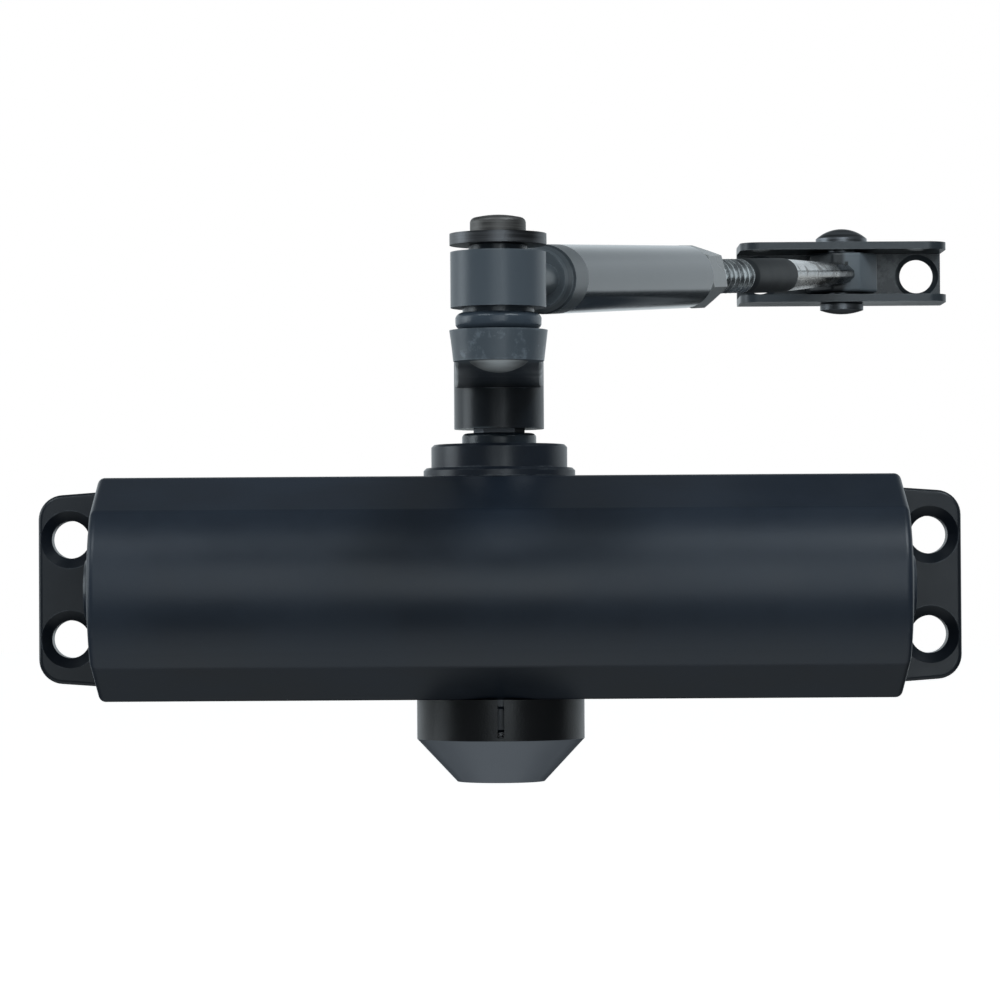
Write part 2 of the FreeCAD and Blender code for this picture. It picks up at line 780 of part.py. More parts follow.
def piston():
    """Piston with a window for the pinion and a rack along the window's front wall."""
    outer = f"{BORE} - piston_gap"
    seal_far = f"(-{PISTON_LEFT} + piston_seal_setback + piston_seal_width)"
    seal_near = f"(-{PISTON_LEFT} + piston_seal_setback)"
    floor = f"{outer} - piston_seal_depth"
    corners = [
        (f"-{PISTON_LEFT}", "0"),
        (f"-{PISTON_LEFT}", f"{outer} - small_chamfer"),
        (f"-{PISTON_LEFT} + small_chamfer", outer),
        (seal_near, outer),
        (seal_near, floor),
        (seal_far, floor),
        (seal_far, outer),
        ("piston_right - small_chamfer", outer),
        ("piston_right", f"{outer} - small_chamfer"),
        ("piston_right", "0"),
    ]
    body = lying("piston", corners, y="-bore_depth")
    pitch_line = f"(bore_depth - pinion_depth - {PITCH_RADIUS})"
    root_line = f"({pitch_line} - rack_dedendum)"
    tip_line = f"({pitch_line} + rack_addendum)"
    window = rectangle(body, "window_shape", "XY_Plane", "-window_left", "window_right",
                       root_line, "bore_diameter")
    pocket(body, "window", window, both=True)
    first = f"rack_start * {CIRCULAR_PITCH}"
    half = f"({CIRCULAR_PITCH} / 4 - backlash / 4)"
    slope = "tan(pressure_angle)"
    wide = f"({half} + rack_dedendum * {slope})"
    narrow = f"({half} - rack_addendum * {slope})"
    tooth = [
        (f"{first} - {wide}", root_line),
        (f"{first} + {wide}", root_line),
        (f"{first} + {narrow}", tip_line),
        (f"{first} - {narrow}", tip_line),
    ]
    sketch = outline(body, "tooth_shape", "XY_Plane", tooth)
    grown = pad(body, "first_tooth", sketch, "rack_width", both=True)
    rack = body.newObject("PartDesign::LinearPattern", "piston_rack")
    rack.Originals = [grown]
    rack.Direction = (sketch, ["H_Axis"])
    rack.Reversed = True
    rack.setExpression("Length", bound(f"(rack_teeth - 1) * {CIRCULAR_PITCH}"))
    rack.setExpression("Occurrences", bound("rack_teeth"))
    body.Tip = rack
    doc.recompute()
    port = circles(body, "check_port_shape", "YZ_Plane",
                   [("check_offset", "0", "check_port / 2")], lift=f"-{PISTON_LEFT}")
    pocket(body, "check_port", port, f"{PISTON_LEFT} - window_left + small_chamfer",
           back=True)
    chamber = circles(body, "check_chamber_shape", "YZ_Plane",
                      [("check_offset", "0", "check_bore / 2")], lift=f"-{PISTON_LEFT}")
    pocket(body, "check_chamber", chamber, "check_bore_depth", back=True)
    return body


def piston_seal():
    """Sliding ring in the piston's groove."""
    outer = f"{BORE} - piston_gap / 2"
    inner = f"{BORE} - piston_gap - piston_seal_depth + seat_gap"
    low = f"(-{PISTON_LEFT} + piston_seal_setback + seat_gap)"
    high = f"(-{PISTON_LEFT} + piston_seal_setback + piston_seal_width - seat_gap)"
    corners = [(low, inner), (low, outer), (high, outer), (high, inner)]
    lying("piston_seal", corners, y="-bore_depth")


def check_valve():
    """Ball and retainer of the check valve in the piston's left head."""
    ball = doc.addObject("Part::Sphere", "check_ball")
    ball.Label = "check_ball"
    ball.setExpression("Radius", bound("check_ball / 2"))
    place(ball, x=f"-{PISTON_LEFT} + check_bore_depth - check_ball / 2 - seat_gap",
          y="check_offset - bore_depth")
    nodes.append(ball)
    outer = "check_bore / 2 - seat_gap / 2"
    corners = [
        (f"-{PISTON_LEFT} + seat_gap", "retainer_hole / 2"),
        (f"-{PISTON_LEFT} + seat_gap", outer),
        (f"-{PISTON_LEFT} + retainer_length", outer),
        (f"-{PISTON_LEFT} + retainer_length", "retainer_hole / 2"),
    ]
    lying("check_retainer", corners, y="check_offset - bore_depth")


def closing_spring():
    """Compression spring between the piston and the right plug."""
    wire = "(spring_wire / 2)"
    start = f"(piston_right + {wire} + seat_gap)"
    room = f"({BODY_END} - {PLUG_DEPTH} - piston_right - 2 * {wire} - 2 * seat_gap)"
    helix = doc.addObject("Part::Helix", "spring_path")
    helix.setExpression("Radius", bound("spring_mean / 2"))
    helix.setExpression("Pitch", bound(f"{room} / spring_turns"))
    helix.setExpression("Height", bound(room))
    helix.SegmentLength = 0
    section = doc.addObject("Part::Circle", "spring_section")
    section.setExpression("Radius", bound(wire))
    place(section, x="spring_mean / 2", turn="90", axis=Vector(1, 0, 0))
    doc.recompute()
    sweep = doc.addObject("Part::Sweep", "closing_spring")
    sweep.Label = "closing_spring"
    sweep.Sections = [section]
    sweep.Spine = (helix, [f"Edge{k + 1}" for k in range(len(helix.Shape.Edges))])
    sweep.Solid = True
    sweep.Frenet = True
    place(sweep, x=start, y="-bore_depth", turn="90", axis=Vector(0, 1, 0))
    doc.recompute()
    nodes.append(sweep)


def spindle_cover():
    """Snap-on plastic cap over the lower shaft end: a short drum that narrows to a cone."""
    outer = "cover_diameter / 2"
    inner = f"{outer} - cover_wall"
    step = "cover_straight"
    deep = "(cover_height - cover_wall)"
    corners = [
        (inner, "0"),
        (outer, "0"),
        (outer, f"-{step}"),
        ("cover_tip / 2", "-cover_height"),
        ("0", "-cover_height"),
        ("0", f"-{deep}"),
        ("cover_tip / 2 - cover_wall / 2", f"-{deep}"),
        (inner, f"-{step}"),
    ]
    body = upright("spindle_cover", corners, y="-pinion_depth", z=f"-{BODY_TOP}")
    slit = rectangle(body, "slit_shape", "XZ_Plane", "-cover_slit / 2", "cover_slit / 2",
                     f"-{step} + cover_wall / 2", "cover_wall", lift="cover_diameter / 2")
    pocket(body, "slit", slit, "cover_diameter / 2")
    return body


def main_arm():
    """Forged arm that falls a little from a square-holed boss to a round elbow eye."""
    body = new_body("main_arm", y="-pinion_depth")
    bar_end = "-(arm_length - elbow_foot / 2 - small_chamfer)"
    bar = [
        ("-arm_bar_boss / 2", "0"),
        ("-arm_bar_eye / 2", bar_end),
        ("arm_bar_eye / 2", bar_end),
        ("arm_bar_boss / 2", "0"),
    ]
    plan = outline(body, "bar_plan", "XY_Plane", bar, lift="arm_bottom + arm_rise",
                   tilt="asin(arm_rise / arm_length)", tilt_axis=Vector(1, 0, 0))
    pad(body, "bar", plan, "arm_thickness")
    eye = circles(body, "eye_plan", "XY_Plane", [("0", "-arm_length", "arm_eye / 2")],
                  lift=ARM_TOP)
    forged = pad(body, "eye", eye, "arm_thickness", back=True)
    forged.setExpression("TaperAngle", bound("-arm_eye_draft"))
    boss = circles(body, "boss_plan", "XY_Plane", [("0", "0", "arm_boss / 2")],
                   lift="arm_boss_bottom")
    pad(body, "boss", boss, "arm_boss_top - arm_boss_bottom")
    side = "square_width / 2 + seat_gap"
    square = rectangle(body, "square_shape", "XY_Plane", f"-({side})", side, f"-({side})", side,
                       lift="arm_boss_bottom")
    pocket(body, "square_hole", square, back=True)
    pin = circles(body, "pin_place", "XY_Plane",
                  [("0", "-arm_length", "elbow_pin / 2 + seat_gap")], lift="arm_bottom")
    pocket(body, "pin_hole", pin, back=True)
    soften(body, "edge_rounds", "arm_edge_round", lambda middle, span: (
        abs(span.y) > value("arm_length - arm_boss - arm_eye") * MOST
    ))
    return body


def arm_fastening():
    """Washer and hexagon screw that hold the arm on the shaft's square."""
    hole = "arm_screw / 2 + 2 * seat_gap"
    top = "(arm_boss_top + washer_thickness)"
    corners = [
        (hole, "arm_boss_top"),
        ("washer_diameter / 2", "arm_boss_top"),
        ("washer_diameter / 2", top),
        (hole, top),
    ]
    upright("arm_washer", corners, y="-pinion_depth")
    body = new_body("arm_screw", y="-pinion_depth", z=top)
    head = hexagon(body, "head_shape", "XY_Plane", "arm_screw_flats")
    pad(body, "head", head, "arm_screw_head")
    shank = circles(body, "shank_shape", "XY_Plane", [("0", "0", "arm_screw / 2")])
    pad(body, "shank", shank, "arm_screw_length + washer_thickness", back=True)
    hexagon_chamfer(body, "head_chamfer", "arm_screw_head", -1, "arm_screw_flats",
                    "nut_chamfer", axis="V_Axis")


def elbow_parts():
    """Riveted elbow pin with its washer, lower ring and bush."""
    where = {"y": f"-{ELBOW_DEPTH}"}
    pin = "elbow_pin / 2"
    dome_bottom = "(elbow_washer_bottom + elbow_washer_height)"
    dome_top = f"({dome_bottom} + elbow_dome_height)"
    dome = "elbow_dome / 2"
    low = "(arm_bottom - peened_height)"
    head = "peened_head / 2"
    head_arc = f"(({head}) ^ 2 + peened_height ^ 2) / (2 * peened_height)"
    corners = [
        ("0", low),
        (head, "arm_bottom"),
        (pin, "arm_bottom"),
        (pin, dome_bottom),
        (dome, dome_bottom),
        (dome, f"{dome_bottom} + small_chamfer"),
        ("0", dome_top),
    ]
    dome_rise = "(elbow_dome_height - small_chamfer)"
    dome_arc = f"(({dome}) ^ 2 + {dome_rise} ^ 2) / (2 * {dome_rise})"
    upright("elbow_pin", corners, {0: (head_arc, -1), 5: (dome_arc, -1)}, **where)
    hole = f"{pin} + seat_gap"
    washer = [
        (hole, "elbow_washer_bottom"),
        ("elbow_washer / 2", "elbow_washer_bottom"),
        ("elbow_washer / 2", dome_bottom),
        (hole, dome_bottom),
    ]
    upright("elbow_washer", washer, **where)
    foot = f"({ARM_TOP} + elbow_foot_height)"
    top = f"({foot} + elbow_ring_height)"
    bulge = "elbow_ring_height / 2"
    lower = [
        (hole, ARM_TOP),
        ("elbow_foot / 2", ARM_TOP),
        ("elbow_foot / 2", foot),
        (f"elbow_ring / 2 - {bulge}", foot),
        (f"elbow_ring / 2 - {bulge}", top),
        (hole, top),
    ]
    upright("elbow_ring", lower, {3: (f"{bulge} * {JUST_OVER}", -1)}, **where)
    bore = f"{pin} + running_gap"
    bush_low = f"({top} + running_gap)"
    bush_top = "(elbow_washer_bottom - running_gap)"
    bush = [
        (bore, bush_low),
        ("bush_collar / 2", bush_low),
        ("bush_collar / 2", "eye_bottom"),
        ("bush_body / 2", "eye_bottom"),
        ("bush_body / 2", bush_top),
        (bore, bush_top),
    ]
    upright("elbow_bush", bush, **where)


def forearm_tube():
    """Elbow eye on an upright axis, and the threaded barrel that rises towards the frame."""
    body = new_body("forearm_tube", y=f"-{ELBOW_DEPTH}", z=EYE_MIDDLE, turn="forearm_turn")
    barrel = "barrel_diameter / 2"
    face = "barrel_face / 2"
    neck = "neck_height / 2"
    groove = "(barrel_start + barrel_nose)"
    groove_end = f"({groove} + barrel_ring_groove)"
    deep = f"{barrel} - barrel_ring_depth"
    corners = [
        ("0", "0"),
        ("0", neck),
        ("barrel_start", neck),
        ("barrel_start", face),
        (groove, f"{barrel} - barrel_ring_depth / 2"),
        (groove, deep),
        (groove_end, deep),
        (groove_end, barrel),
        ("barrel_band_end", barrel),
        ("barrel_end - barrel_chamfer", barrel),
        ("barrel_end", f"{barrel} - barrel_chamfer"),
        ("barrel_end", "0"),
    ]
    profile = outline(body, "barrel_profile", "XZ_Plane", corners, tilt="forearm_rise")
    turn(body, "barrel", profile, "H_Axis")
    flat = "(neck_width - neck_height) / 2"
    oval = [(f"-{flat}", f"-{neck}"), (flat, f"-{neck}"), (flat, neck), (f"-{flat}", neck)]
    sides = {1: (f"{neck} * {JUST_OVER}", -1), 3: (f"{neck} * {JUST_OVER}", -1)}
    section = outline(body, "neck_section", "YZ_Plane", oval, sides, tilt="-forearm_rise",
                      tilt_axis=Vector(1, 0, 0))
    pad(body, "neck", section, "barrel_start + barrel_nose")
    eye = circles(body, "eye_plan", "XY_Plane", [("0", "0", "eye_diameter / 2")])
    pad(body, "eye", eye, "eye_height", both=True)
    hole = circles(body, "bush_place", "XY_Plane", [("0", "0", "bush_body / 2 + seat_gap / 2")])
    pocket(body, "bush_hole", hole, "eye_height", both=True)
    inside = rectangle(body, "rod_bore_shape", "XZ_Plane", "rod_bore_start",
                       "barrel_end + barrel_chamfer", "0", "rod_bore / 2", tilt="forearm_rise")
    turn(body, "rod_bore", inside, "H_Axis", groove=True)
    return body


def hexagon_chamfer(body, name, end, inward, flats, depth, role="XZ_Plane", axis="H_Axis"):
    """Turns the corners of a hexagon off at one end, as on a nut or a screw head."""
    reach = f"(({flats}) / sqrt(3))"
    low = f"({flats}) / 2"
    over = f"({reach} + {depth})"
    drop = f"({over} - {low}) * tan(30)"
    points = [(end, low), (end, over), (f"{end} + {inward} * {drop}", over)]
    if axis == "V_Axis":
        points = [(y, x) for x, y in points]
    sketch = outline(body, f"{name}_shape", role, points)
    turn(body, name, sketch, axis, groove=True)


def lock_nut():
    """Hexagon nut that locks the rod against the barrel."""
    body = new_body("lock_nut")
    body.setExpression("Placement", bound(
        f"placement(vector(0; -{ELBOW_DEPTH}; {EYE_MIDDLE}); "
        "rotation(vector(0; 0; 1); forearm_turn) * rotation(vector(0; 1; 0); -forearm_rise))"
    ))
    start = "(barrel_end + seat_gap)"
    shape = hexagon(body, "nut_shape", "YZ_Plane", "nut_flats", lift=start)
    pad(body, "nut", shape, "nut_length")
    hole = circles(body, "thread_place", "YZ_Plane",
                   [("0", "0", "rod_bore / 2")], lift=start)
    pocket(body, "thread_hole", hole, back=True)
    hexagon_chamfer(body, "near_chamfer", start, 1, "nut_flats", "nut_chamfer")
    hexagon_chamfer(body, "far_chamfer", f"({start} + nut_length)", -1, "nut_flats",
                    "nut_chamfer")
    return body


def adjusting_rod():
    """Threaded rod with a plain length, a flattened taper and an eye on an upright axis."""
    body = new_body("adjusting_rod", y=f"-{ELBOW_DEPTH}", z=EYE_MIDDLE, turn="forearm_turn")
    thread = "rod_thread / 2"
    plain = "rod_plain / 2"
    taper_start = f"({ROD_EYE_ALONG} - taper_start)"
    taper_end = f"({ROD_EYE_ALONG} - taper_end)"
    corners = [
        ("rod_inner_end", "0"),
        ("rod_inner_end", f"{thread} - small_chamfer"),
        ("rod_inner_end + small_chamfer", thread),
        ("thread_end", thread),
        ("thread_end", plain),
        (taper_end, plain),
        (taper_end, "0"),
    ]
    profile = outline(body, "rod_profile", "XZ_Plane", corners, tilt="forearm_rise")
    turn(body, "rod", profile, "H_Axis")
    taper = [
        (taper_start, "-rod_plain / 2 + small_chamfer"),
        (taper_end, "-taper_width / 2"),
        (taper_end, "taper_width / 2"),
        (taper_start, "rod_plain / 2 - small_chamfer"),
    ]
    plan = outline(body, "taper_plan", "XY_Plane", taper, tilt="-forearm_rise",
                   tilt_axis=Vector(0, 1, 0))
    pad(body, "taper", plan, "taper_height", both=True)
    eye = circles(body, "eye_plan", "XY_Plane", [("forearm_reach", "0", "rod_eye / 2")],
                  lift=f"{ROD_EYE_LEVEL} - rod_eye_height / 2")
    pad(body, "eye", eye, "rod_eye_height")
    hole = circles(body, "rivet_place", "XY_Plane",
                   [("forearm_reach", "0", "rivet / 2 + running_gap")],
                   lift=f"{ROD_EYE_LEVEL} - rod_eye_height / 2")
    pocket(body, "rivet_hole", hole, "rod_eye_height", back=True)
    return body


def shoe_bracket():
    """Pressed channel that is screwed to the frame and holds the rod's eye."""
    body = new_body("shoe_bracket", x=SHOE_X, y=SHOE_Y, z=SHOE_LEVEL)
    outer = "shoe_height / 2"
    inner = f"({outer} - shoe_wall)"
    section = [
        ("0", f"-{outer}"),
        ("0", outer),
        ("-shoe_depth", outer),
        ("-shoe_depth", inner),
        ("-shoe_wall", inner),
        ("-shoe_wall", f"-{inner}"),
        ("-shoe_depth", f"-{inner}"),
        ("-shoe_depth", f"-{outer}"),
    ]
    pad(body, "channel", outline(body, "section", "YZ_Plane", section), "shoe_length",
        both=True)
    soften(body, "bends", "shoe_bend", lambda middle, span: (
        near(middle.y, 0) and abs(span.x) > value("shoe_length") * MOST
    ))
    soften(body, "front_corners", "shoe_corner", lambda middle, span: (
        near(middle.y, -value("shoe_depth"))
        and near(abs(middle.x), value("shoe_length") / 2)
        and abs(span.z) > value("shoe_wall") * MOST
    ))
    sketch = circles(body, "screw_places", "XZ_Plane",
                     [(f"{side} * shoe_hole_pitch / 2", "0", "shoe_hole / 2")
                      for side in (-1, 1)], lift="shoe_wall")
    doc.recompute()
    before = body.Shape.Volume
    hole = body.newObject("PartDesign::Hole", "shoe_bracket_screw_holes")
    hole.Profile = sketch
    sketch.Visibility = False
    hole.HoleCutType = "Countersink"
    hole.DepthType = "ThroughAll"
    hole.HoleCutCountersinkAngle = 90
    hole.setExpression("Diameter", bound("shoe_hole"))
    hole.setExpression("HoleCutDiameter", bound("shoe_sink"))
    doc.recompute()
    if body.Shape.Volume >= before:
        raise RuntimeError("the shoe's screw holes cut nothing")
    rivet = circles(body, "rivet_place", "XY_Plane",
                    [("0", "-rivet_depth", "rivet / 2 + seat_gap / 2")])
    pocket(body, "rivet_holes", rivet, both=True)
    return body


def shoe_rivet():
    """Rivet that joins the rod's eye to the shoe: domed above, flat-headed below."""
    shank = "rivet / 2"
    top = "(shoe_height / 2)"
    dome = "rivet_dome / 2"
    head = "rivet_head / 2"
    dome_top = f"({top} + rivet_dome_height)"
    foot = f"({top} + rivet_head_height)"
    dome_arc = f"(({dome}) ^ 2 + rivet_dome_height ^ 2) / (2 * rivet_dome_height)"
    corners = [
        ("0", f"-{foot}"),
        (f"{head} - small_chamfer", f"-{foot}"),
        (head, f"-{foot} + small_chamfer"),
        (head, f"-{top}"),
        (shank, f"-{top}"),
        (shank, top),
        (dome, top),
        ("0", dome_top),
    ]
    upright("shoe_rivet", corners, {6: (dome_arc, -1)}, x=SHOE_X,
            y=f"{SHOE_Y} - rivet_depth", z=SHOE_LEVEL)


closer_body()
end_plug("left_end_plug", -1)
end_plug("right_end_plug", 1)
plug_seals()
speed_valve("latch_valve", -1)
speed_valve("sweep_valve", 1)
valve_seals()
bearing_cap("upper_bearing_cap", "0")
bearing_cap("lower_bearing_cap", "180")
shaft_bearings()
shaft_seals()
dust_ring()
spindle_cover()
pinion_shaft()
piston()
piston_seal()
check_valve()
closing_spring()
main_arm()
arm_fastening()
elbow_parts()
forearm_tube()
lock_nut()
adjusting_rod()
shoe_bracket()
shoe_rivet()
doc.recompute()

for item in doc.Objects:
    if "Invalid" in item.State or "Error" in item.State:
        raise RuntimeError(f"{item.Name} did not build: {item.State}")
for node in nodes:
    if node.Shape.isNull() or not node.Shape.isValid():
        raise RuntimeError(f"{node.Label} has no sound shape")

os.makedirs("parts", exist_ok=True)
for node in nodes:
    node.Shape.exportStep(os.path.join("parts", f"{node.Label}.step"))
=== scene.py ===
import math

import bmesh
import bpy
from mathutils import Matrix, Vector


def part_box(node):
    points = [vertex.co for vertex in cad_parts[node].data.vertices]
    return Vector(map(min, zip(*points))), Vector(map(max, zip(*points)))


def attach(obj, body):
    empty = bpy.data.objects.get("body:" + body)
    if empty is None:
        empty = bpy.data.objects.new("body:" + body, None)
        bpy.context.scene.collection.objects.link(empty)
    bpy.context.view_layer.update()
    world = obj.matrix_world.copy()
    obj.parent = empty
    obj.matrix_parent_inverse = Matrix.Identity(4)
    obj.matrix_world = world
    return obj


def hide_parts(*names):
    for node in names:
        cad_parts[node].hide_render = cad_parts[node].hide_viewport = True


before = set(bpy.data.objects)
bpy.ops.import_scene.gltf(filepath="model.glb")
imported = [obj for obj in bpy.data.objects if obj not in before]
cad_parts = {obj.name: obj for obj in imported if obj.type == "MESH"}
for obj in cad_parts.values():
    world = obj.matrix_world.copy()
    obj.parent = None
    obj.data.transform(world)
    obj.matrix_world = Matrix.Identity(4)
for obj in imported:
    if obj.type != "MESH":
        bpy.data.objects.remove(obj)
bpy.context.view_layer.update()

MM = 0.001
X, Y, Z = range(3)

# Stage

EYE = Vector((0.0, -0.763, 0.0023))
EYE_PITCH = math.radians(1.08)
EYE_ROLL = math.radians(0.35)
EYE_LENS = 142.92
EYE_SENSOR = 36.0
EYE_NEAR = 0.02

FLOOR_LEVEL = -0.24
FLOOR_HALF = 12.0
FLOOR_TONE = (0.85, 0.85, 0.85, 1.0)
FLOOR_ROUGH = 0.9
FLOOR_GLOW = 0.86

WHITE = (1.0, 1.0, 1.0, 1.0)
AIR_TINT = (0.86, 0.95, 1.0, 1.0)

# Strengths of the air in reflections
BAND_LIGHT = 0.8
ROOM_LIGHT = 0.1
FRONT_FLOOR = 0.13
BACK_FLOOR = 0.015
LOW_ROOM = 0.15
NADIR_LIGHT = 0.14

# Where the air changes, on the Y or Z part of a direction
BEHIND_ZONE = (0.05, 0.45)
HORIZON_ZONE = (-0.155, -0.135)
BAND_TOP_ZONE = (0.28, 0.52)
LOW_ROOM_ZONE = (-0.44, -0.62)
NADIR_ZONE = (-0.78, -0.98)
FLOOR_ZONE = (-0.6, 0.1)

# Name, place, aim, width, height and power of each softbox
SOFTBOXES = (
    ("right_key", (0.75, -0.95, 1.3), (0.0, -0.05, 0.0), 0.8, 0.6, 10.0),
    ("left_key", (-0.8, -0.95, 1.25), (0.0, -0.05, 0.0), 0.8, 0.6, 6.5),
    ("front_panel", (0.05, -1.9, 0.3), (0.0, -0.1, 0.02), 1.1, 1.3, 4.5),
    ("front_strip", (0.36, -1.85, 0.3), (0.0, -0.1, 0.02), 0.09, 1.3, 1.6),
    ("left_light", (-1.4, -0.05, 0.3), (0.0, -0.1, 0.0), 0.7, 0.9, 5.0),
    ("low_light", (0.0, -0.4, -1.4), (0.0, -0.05, 0.0), 3.0, 1.6, 5.4),
)


def set_camera():
    data = bpy.data.cameras.new("viewer")
    data.lens = EYE_LENS
    data.sensor_width = EYE_SENSOR
    data.clip_start = EYE_NEAR
    camera = bpy.data.objects.new("viewer", data)
    camera.location = EYE
    camera.rotation_euler = (math.radians(90.0) + EYE_PITCH, EYE_ROLL, 0.0)
    bpy.context.collection.objects.link(camera)
    bpy.context.scene.camera = camera
    bpy.context.scene.view_settings.view_transform = "Standard"


def pale_floor_finish():
    pale = bpy.data.materials.new("pale_floor")
    pale.use_nodes = True
    skin = pale.node_tree.nodes["Principled BSDF"]
    skin.inputs["Base Color"].default_value = FLOOR_TONE
    skin.inputs["Roughness"].default_value = FLOOR_ROUGH
    skin.inputs["Emission Color"].default_value = WHITE
    skin.inputs["Emission Strength"].default_value = FLOOR_GLOW
    return pale


def set_floor():
    """A pale floor that ends far behind the object."""
    shape = bmesh.new()
    bmesh.ops.create_grid(shape, x_segments=1, y_segments=1, size=FLOOR_HALF)
    bmesh.ops.translate(shape, vec=(0.0, 0.0, FLOOR_LEVEL), verts=list(shape.verts))
    mesh = bpy.data.meshes.new("pale_floor")
    shape.to_mesh(mesh)
    shape.free()
    floor = bpy.data.objects.new("pale_floor", mesh)
    bpy.context.collection.objects.link(floor)
    mesh.materials.append(pale_floor_finish())
    floor.visible_glossy = False
    floor.visible_diffuse = False


def add_softbox(name, place, aim, width, height, power):
    data = bpy.data.lights.new(name, "AREA")
    data.shape = "RECTANGLE"
    data.size = width
    data.size_y = height
    data.energy = power
    data.color = AIR_TINT[:3]
    lamp = bpy.data.objects.new(name, data)
    lamp.location = place
    lamp.rotation_euler = (Vector(aim) - Vector(place)).to_track_quat("-Z", "Y").to_euler()
    bpy.context.collection.objects.link(lamp)


def set_air():
    """White to the viewer. Reflections see a bright band low behind the object, and a dim room."""
    world = bpy.data.worlds.new("studio")
    world.use_nodes = True
    tree = world.node_tree
    air = tree.nodes["Background"]
    way = add_node(tree, "ShaderNodeSeparateXYZ")
    tree.links.new(add_node(tree, "ShaderNodeTexCoord").outputs["Generated"], way.inputs["Vector"])
    depth, level = way.outputs["Y"], way.outputs["Z"]
    behind = ramp(tree, depth, *BEHIND_ZONE)
    above = ramp(tree, level, *HORIZON_ZONE)
    under = ramp(tree, level, *BAND_TOP_ZONE, 1.0, 0.0)
    band = combine(tree, "MULTIPLY", combine(tree, "MULTIPLY", behind, under), BAND_LIGHT)
    upper = combine(tree, "MULTIPLY", above, combine(tree, "ADD", band, ROOM_LIGHT))
    far_down = combine(tree, "ADD", ramp(tree, level, *LOW_ROOM_ZONE, 0.0, LOW_ROOM),
                       ramp(tree, level, *NADIR_ZONE, 0.0, NADIR_LIGHT))
    ground = ramp(tree, depth, *FLOOR_ZONE, FRONT_FLOOR, BACK_FLOOR)
    lower = combine(tree, "MULTIPLY", combine(tree, "SUBTRACT", 1.0, above),
                    combine(tree, "MAXIMUM", far_down, ground))
    seen = add_node(tree, "ShaderNodeLightPath").outputs["Is Camera Ray"]
    shown = combine(tree, "MAXIMUM", seen, combine(tree, "ADD", upper, lower))
    tree.links.new(mix_colours(tree, seen, AIR_TINT, WHITE), air.inputs["Color"])
    tree.links.new(shown, air.inputs["Strength"])
    bpy.context.scene.world = world


def set_light():
    set_air()
    for softbox in SOFTBOXES:
        add_softbox(*softbox)


# Nodes


def add_node(tree, kind, **settings):
    node = tree.nodes.new(kind)
    for label, value in settings.items():
        setattr(node, label, value)
    return node


def ramp(tree, value, low, high, out_low=0.0, out_high=1.0):
    """Eases a value from one range to another."""
    node = add_node(tree, "ShaderNodeMapRange", interpolation_type="SMOOTHSTEP")
    tree.links.new(value, node.inputs["Value"])
    node.inputs["From Min"].default_value = low
    node.inputs["From Max"].default_value = high
    node.inputs["To Min"].default_value = out_low
    node.inputs["To Max"].default_value = out_high
    return node.outputs["Result"]


def combine(tree, operation, first, second):
    """A Math node. Plain numbers go on its sockets."""
    node = add_node(tree, "ShaderNodeMath", operation=operation)
    for socket, item in zip(node.inputs, (first, second)):
        if isinstance(item, (int, float)):
            socket.default_value = item
        else:
            tree.links.new(item, socket)
    return node.outputs["Value"]


def mix_colours(tree, factor, first, second):
    """Mixes two colours, each a colour with its alpha or a socket."""
    node = add_node(tree, "ShaderNodeMix", data_type="RGBA")
    factor_socket, first_socket, second_socket = node.inputs[0], node.inputs[6], node.inputs[7]
    tree.links.new(factor, factor_socket)
    for socket, item in ((first_socket, first), (second_socket, second)):
        if isinstance(item, tuple):
            socket.default_value = item
        else:
            tree.links.new(item, socket)
    return node.outputs[2]


def noise(tree, vector, scale, detail=2.0, roughness=0.5):
    """A noise texture's factor."""
    node = add_node(tree, "ShaderNodeTexNoise")
    node.inputs["Detail"].default_value = detail
    node.inputs["Roughness"].default_value = roughness
    tree.links.new(vector, node.inputs["Vector"])
    if isinstance(scale, (int, float)):
        node.inputs["Scale"].default_value = scale
    else:
        tree.links.new(scale, node.inputs["Scale"])
    return node.outputs["Fac"]


def voronoi(tree, vector, scale):
    """A Voronoi texture's sockets."""
    node = add_node(tree, "ShaderNodeTexVoronoi")
    tree.links.new(vector, node.inputs["Vector"])
    tree.links.new(scale, node.inputs["Scale"])
    return node.outputs


# Shared effects

# Scales are in noise cells per metre, and zones are ranges of a noise's value
PEEL_SCALE = 1500.0
CAST_SCALE = 90.0
CAST_SHARE = 0.6
CAST_WEIGHT = 6.0
CLOUD_SCALE = 38.0
SPECK_SCALE = 900.0
SPECK_ZONE = (0.66, 0.74)

# Edge mask: rubbed bare metal, which also paints highlights along the edges
RUB_AND_HIGHLIGHT_WIDTH = 0.5 * MM
RUB_AND_HIGHLIGHT_SAMPLES = 4
RUB_AND_HIGHLIGHT_TURN_ZONE = (0.97, 0.82)
RUB_AND_HIGHLIGHT_SCALE = 260.0
RUB_AND_HIGHLIGHT_BREAK_ZONE = (0.42, 0.62)

RING_SCALE = 5000.0
STREAK_STRETCH = (60.0, 60.0, 2600.0)

MOULD_SCALE = 3200.0
FINE_MOULD_SCALE = 5200.0
FLOW_SCALE = 70.0

SPANGLE_SCALE = 900.0
SCRATCH_SCALE = 4200.0
STAIN_SCALE = 340.0
STAIN_ZONE = (0.48, 0.66)


def new_group(name, inputs, outputs):
    """An empty node group with named sockets, and its two ends."""
    group = bpy.data.node_groups.new(name, "ShaderNodeTree")
    for label, kind, value in inputs:
        socket = group.interface.new_socket(name=label, in_out="INPUT", socket_type=kind)
        if value is not None:
            socket.default_value = value
    for label in outputs:
        group.interface.new_socket(name=label, in_out="OUTPUT", socket_type="NodeSocketFloat")
    return group, group.nodes.new("NodeGroupInput"), group.nodes.new("NodeGroupOutput")


